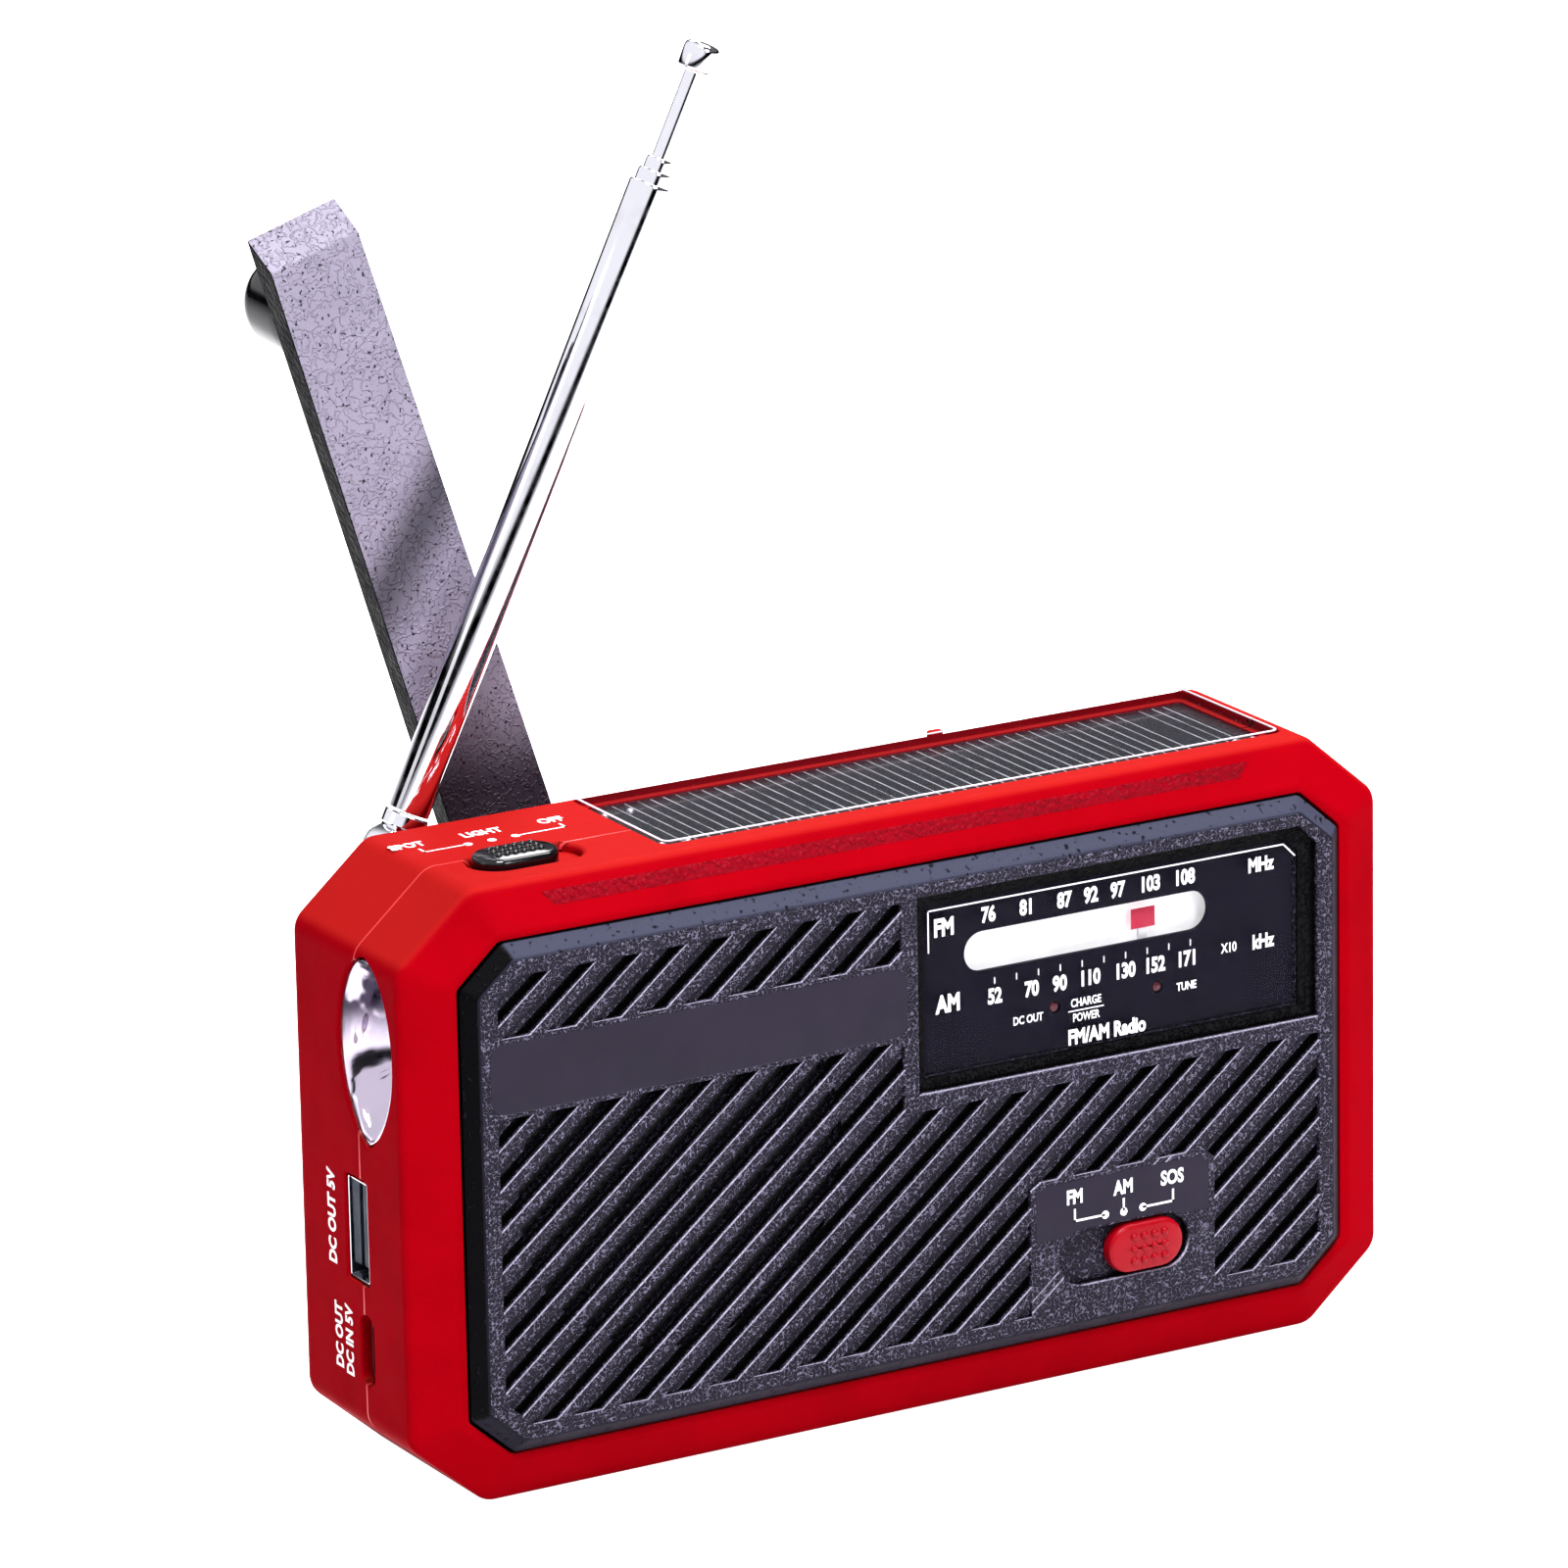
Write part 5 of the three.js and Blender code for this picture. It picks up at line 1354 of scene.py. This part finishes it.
def torch():
    y = TORCH["y"]
    z = TORCH["z"]
    rows = [(-71.6, 0.9), (-71.55, 0), (-71.9, 0), (-72.05, 0.15), (-72.3, 1.0)]
    rows += [(-72.55, 2.2), (-72.75, 3.6), (-72.86, 5.0), (-72.9, 6.2)]
    dome = [ring(torch_outline(-inset), "X", x) for x, inset in rows]
    lens = piece("torch_glass", lambda mesh: add_skin(mesh, dome))
    place_piece(lens, CLEAR, "clear_plastic", "case", "flashlight_lens")

    def bowl(mesh):
        """Rings that narrow to a fifth of the rim, with a shallow groove at every eighth point."""
        rings = []
        for k in range(15):
            scale = 1 - 0.8 * k / 14
            points = []
            for i, (a, b) in enumerate(torch_outline(0, 96)):
                reach = scale * (1 - 0.02 * (i % 8 == 0) * (0 < k < 14))
                points.append((y + (a - y) * reach, z + (b - z) * reach))
            rings.append(ring(points, "X", BOWL_RIM + BOWL_DEPTH * (1 - scale ** 1.7)))
        for low, high in zip(rings, rings[1:]):
            add_skin(mesh, [low, high], cap=False)
        bmesh.ops.remove_doubles(mesh, verts=mesh.verts, dist=0.0001)
        bmesh.ops.recalc_face_normals(mesh, faces=mesh.faces)

    reflector = piece("torch_bowl", bowl, sharp=25)
    solid = reflector.modifiers.new("wall", "SOLIDIFY")
    solid.thickness = 0.4 * MM
    solid.offset = 0
    place_piece(reflector, TORCH_CHROME, "chrome", "case", "flashlight_reflector")

    def led(mesh):
        add_block(mesh, -61.2, -60.3, y - 2, y + 2, z - 2, z + 2, 0.1)
        profile = [(1.4, -61.2), (1.4, -61.8), (1.2, -62.2), (0.8, -62.5), (0.01, -62.6)]
        add_turned(mesh, profile, "X", y, z, 24)

    place_piece(piece("torch_emitter", led), WHITE_PLASTIC, "white_plastic", "case", "flashlight_led")


def socket(name, outline, wall, x0, x1, depth, material, slot, node_name):
    """A drawn metal tube, open to the left, with rounded rims."""
    inner = grow(outline, -wall)
    rows = [(outline, x1), (outline, x0 + 0.15), (grow(outline, -0.1), x0)]
    rows += [(inner, x0 + 0.05), (inner, x0 + depth)]
    rings = [ring(shape, "X", x) for shape, x in rows]
    obj = piece(name, lambda mesh: add_skin(mesh, rings))
    place_piece(obj, material, slot, "case", node_name)


def sockets():
    outline = rounded_rect(*USB_A, 0.45)
    socket("usb_a_tube", outline, 0.25, -71.7, -58, 12.7, CHROME, "chrome", "usb_a_shell")
    # The USB-C tube's metal is coloured dark red, painted shade that makes it read as the shaded red
    # recess round it.
    socket("usb_c_tube", stadium(*USB_C), 0.3, -70.6, -64, 6, SHADED_DARK_RED, "chrome", "usb_c_shell")


solar()
torch()
sockets()

# ---------------------------------------------------------------- thumbwheels


def thumbwheel(name, node_name, x, z, r, notches):
    def outline(inset):
        points = []
        for k in range(notches * 6):
            turn = 2 * pi * k / (notches * 6)
            reach = r - inset - 0.32 * (1 - cos(turn * notches))
            points.append((x + reach * cos(turn), z + reach * sin(turn)))
        return points

    y0, y1 = WHEEL_Y
    rows = ((0.9, y0), (0.15, y0 + 0.4), (0, y0 + 0.9), (0, y1 - 0.9), (0.15, y1 - 0.4), (0.9, y1))
    rings = [ring(outline(inset), "Y", y) for inset, y in rows]
    obj = piece(name, lambda mesh: add_skin(mesh, rings), sharp=50)
    place_piece(obj, WHEEL_BLACK, "wheel_black", node_name, node_name)


thumbwheel("tuning_knurl", "tuning_wheel", *TUNING, 40)
thumbwheel("volume_knurl", "volume_wheel", *VOLUME, 30)

# ---------------------------------------------------------------- crank, drawn upright about its hub


def crank_hub():
    def build(mesh):
        low = HUB_FLOOR + 0.5
        top = RECESS_FLOOR
        profile = [(0, low), (HUB_R, low), (HUB_R, top - 0.4), (HUB_R - 0.12, top - 0.12)]
        profile += [(HUB_R - 0.4, top), (0, top)]
        add_turned(mesh, profile, "Y", 0, 0, 64)
        add_turned(mesh, [(0, 5), (2.5, 5), (2.5, HUB_FLOOR + 1), (0, HUB_FLOOR + 1)], "Y", 0, 0, 32)

    obj = piece("crank_hub_disc", build, CRANK)
    ears = []
    for x0 in (4.6, -7.0):
        eye = arc(PIN_Y, 0, EYE_R, -pi / 2, pi / 2, 14)
        outline = eye + [(RECESS_FLOOR - 1, EYE_R), (RECESS_FLOOR - 1, -EYE_R)]
        ear = piece("ear", lambda mesh: add_slab(mesh, outline, "X", x0, x0 + 2.4, 0.3), CRANK)
        ears.append(carve(ear, [slab(circle(PIN_Y, 0, 1.3, 24), "X", -10, 10, CRANK)]))
    join(obj, ears)
    place_piece(obj, CRANK_DARK, "crank_plastic", "crank_hub", "crank_hub")
    even_shading(obj)


def crank_arm():
    front = ARM_FRONT
    back = ARM_FRONT + ARM_THICK

    def half(u):
        return ARM_HALF_FOOT + (ARM_HALF_TIP - ARM_HALF_FOOT) * u / ARM_LENGTH

    def build(mesh):
        corners = []
        for y, top in ((front, ARM_LENGTH), (back, ARM_LENGTH + ARM_TIP_SLANT)):
            for side, u in ((-1, ARM_START), (1, ARM_START), (1, top), (-1, top)):
                corners.append(mesh.verts.new((side * half(min(u, ARM_LENGTH)), y, u)))
        for face in ((3, 2, 1, 0), (4, 5, 6, 7), (0, 1, 5, 4), (1, 2, 6, 5), (2, 3, 7, 6), (3, 0, 4, 7)):
            mesh.faces.new([corners[i] for i in face])
        bmesh.ops.recalc_face_normals(mesh, faces=mesh.faces)

    obj = piece("crank_arm_moulding", build, CRANK)
    hollow = pit(rounded_rect(-4.6, 4.6, 12, KNOB_U - 8, 1.2), "Y", back, 1, 2.4, 0.4, CRANK)
    post = slab(circle(0, KNOB_U, 1.5, 24), "Y", back - 3, back + 2, CRANK)
    carve(obj, [hollow, post])
    bevel = obj.modifiers.new("edge", "BEVEL")
    bevel.width = 0.35 * MM
    bevel.segments = 3
    bevel.limit_method = "ANGLE"
    bevel.angle_limit = radians(40)
    settle(obj, 40)

    def knuckle(mesh):
        add_slab(mesh, circle(PIN_Y, 0, EYE_R, 32), "X", -KNUCKLE_HALF, KNUCKLE_HALF, 0.25)
        add_block(mesh, -KNUCKLE_HALF, KNUCKLE_HALF, PIN_Y + 0.4, PIN_Y + EYE_R, 0, 4, 0.2)

    joint = piece("knuckle", knuckle, CRANK)
    join(obj, [joint])
    place_piece(obj, CRANK_PAINTED_SHEEN, "crank_plastic", "crank_arm", "crank_arm")
    # The faces are parted by the way they face: the front gets the pale plastic, painted pale for the
    # light it reflects, and the sides and back keep the dark plastic.
    obj.data.materials.append(CRANK_DARK)
    sideways = CRANK.to_3x3() @ Vector((1, 0, 0))
    for face in obj.data.polygons:
        if abs(face.normal.dot(sideways)) > 0.6 or face.normal.y > 0.2:
            face.material_index = 1
    even_shading(obj)


def crank_knob():
    start = ARM_FRONT + ARM_THICK + 0.4
    end = start + KNOB_LENGTH
    profile = [(0, start), (4.6, start), (KNOB_R - 0.4, start + 0.8), (KNOB_R, start + 2.2)]
    for cosine, sine in quarter_turn(8):
        reach = KNOB_HOLE_R + (KNOB_R - KNOB_HOLE_R) * cosine
        profile.append((reach, end - KNOB_DOME * (1 - sine)))
    profile += [(KNOB_HOLE_R, start + 7.8), (0, start + 7.8)]
    obj = piece("crank_knob_dome", lambda mesh: add_turned(mesh, profile, "Y", 0, KNOB_U, 64), CRANK)
    place_piece(obj, BLACK, "gloss_black", "crank_knob", "crank_knob")
    even_shading(obj)


crank_hub()
crank_arm()
crank_knob()

# ---------------------------------------------------------------- antenna, drawn upright about its bolt


def tube_profile(r, inner, start, end):
    """An open tube whose far end is rolled in round the next section."""
    rows = [(inner, start), (r - 0.05, start), (r, start + 0.1), (r, end - 0.5)]
    lip = inner + 0.05
    rows += [(lip + (r - lip) * cosine, end - 0.5 * (1 - sine)) for cosine, sine in quarter_turn(5, 1)]
    return rows + [(inner, end - 0.1)]


def antenna():
    y = ANTENNA[1]
    names = ("antenna_mast", "antenna_section_2", "antenna_section_3")
    for k, (r, body) in enumerate(zip(MAST_RADII, names)):
        profile = tube_profile(r, r - 0.3, MAST_START + 2 * k, MAST_END + MAST_STEP * k)
        rings = [ring(circle(0, y, radius), "Z", z) for radius, z in profile]
        obj = piece(f"antenna_sleeve_{k + 1}", lambda mesh: add_skin(mesh, rings, True), MAST, 50)
        place_piece(obj, CHROME, "chrome", body, f"antenna_tube_{k + 1}")
    r, low, high = ROD
    rod = [(0, low), (r, low), (r, high), (0, high)]
    obj = piece("antenna_thin_rod", lambda mesh: add_turned(mesh, rod, "Z", 0, y, 32), MAST)
    place_piece(obj, CHROME, "chrome", "antenna_tip", "antenna_rod")
    cap = [(0, 105.3), (1.9, 105.3), (2.25, 105.45), (2.4, 105.8), (2.4, 108.2)]
    cap += [(2.3, 108.65), (1.9, 109.0), (1.2, 109.16), (0, 109.2)]
    obj = piece("antenna_end_cap", lambda mesh: add_turned(mesh, cap, "Z", 0, y, 48), MAST, sharp=50)
    place_piece(obj, CHROME, "chrome", "antenna_tip", "antenna_cap")


def antenna_foot():
    y = ANTENNA[1]

    def build(mesh):
        add_slab(mesh, circle(0, 0, 3.3, 40), "Y", y - 2, y + 2, 0.3)
        top = MAST_START - 0.3
        add_block(mesh, -2, 2, y - 2, y + 2, 0, top, 0.3)
        collar = [(0, 3), (2.75, 3), (2.95, 3.2), (2.95, top - 0.2), (2.75, top), (0, top)]
        add_turned(mesh, collar, "Z", 0, y, 40)

    obj = piece("antenna_foot", build, MAST)
    place_piece(obj, CHROME, "chrome", "antenna_mast", "antenna_knuckle")


antenna()
antenna_foot()

# ---------------------------------------------------------------- nodes kept from the CAD

KEPT = {
    SCALE_WHITE_PAINTED_GLOW: ["scale_backing"],
    WHITE_PLASTIC: ["tuning_capacitor"],
    STEEL: [
        "mode_switch_body", "light_switch_body", "speaker_frame", "volume_pot", "gearbox_plate",
        "generator_can", "battery_spring", "case_screw_1", "case_screw_2", "case_screw_3",
        "case_screw_4", "step_shaft", "antenna_bolt", "crank_hinge_pin", "crank_knob_post",
    ],
    CLOTH: ["speaker_mesh"],
    PAPER: ["speaker_cone"],
    FERRITE: ["speaker_magnet", "ferrite_rod"],
    BOARD: ["port_board", "main_board"],
    COPPER: ["ferrite_coil"],
    WHEEL_BLACK: ["battery_tray"],
    BATTERY: ["battery_cell"],
    NYLON: ["drive_gear", "step_gear"],
    BRASS: ["generator_pinion"],
    SLATE_TONGUE: ["usb_a_tongue"],
}
for material, names in KEPT.items():
    for name in names:
        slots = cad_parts[name].material_slots
        if not slots:
            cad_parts[name].data.materials.append(material)
        for slot in slots:
            slot.material = material
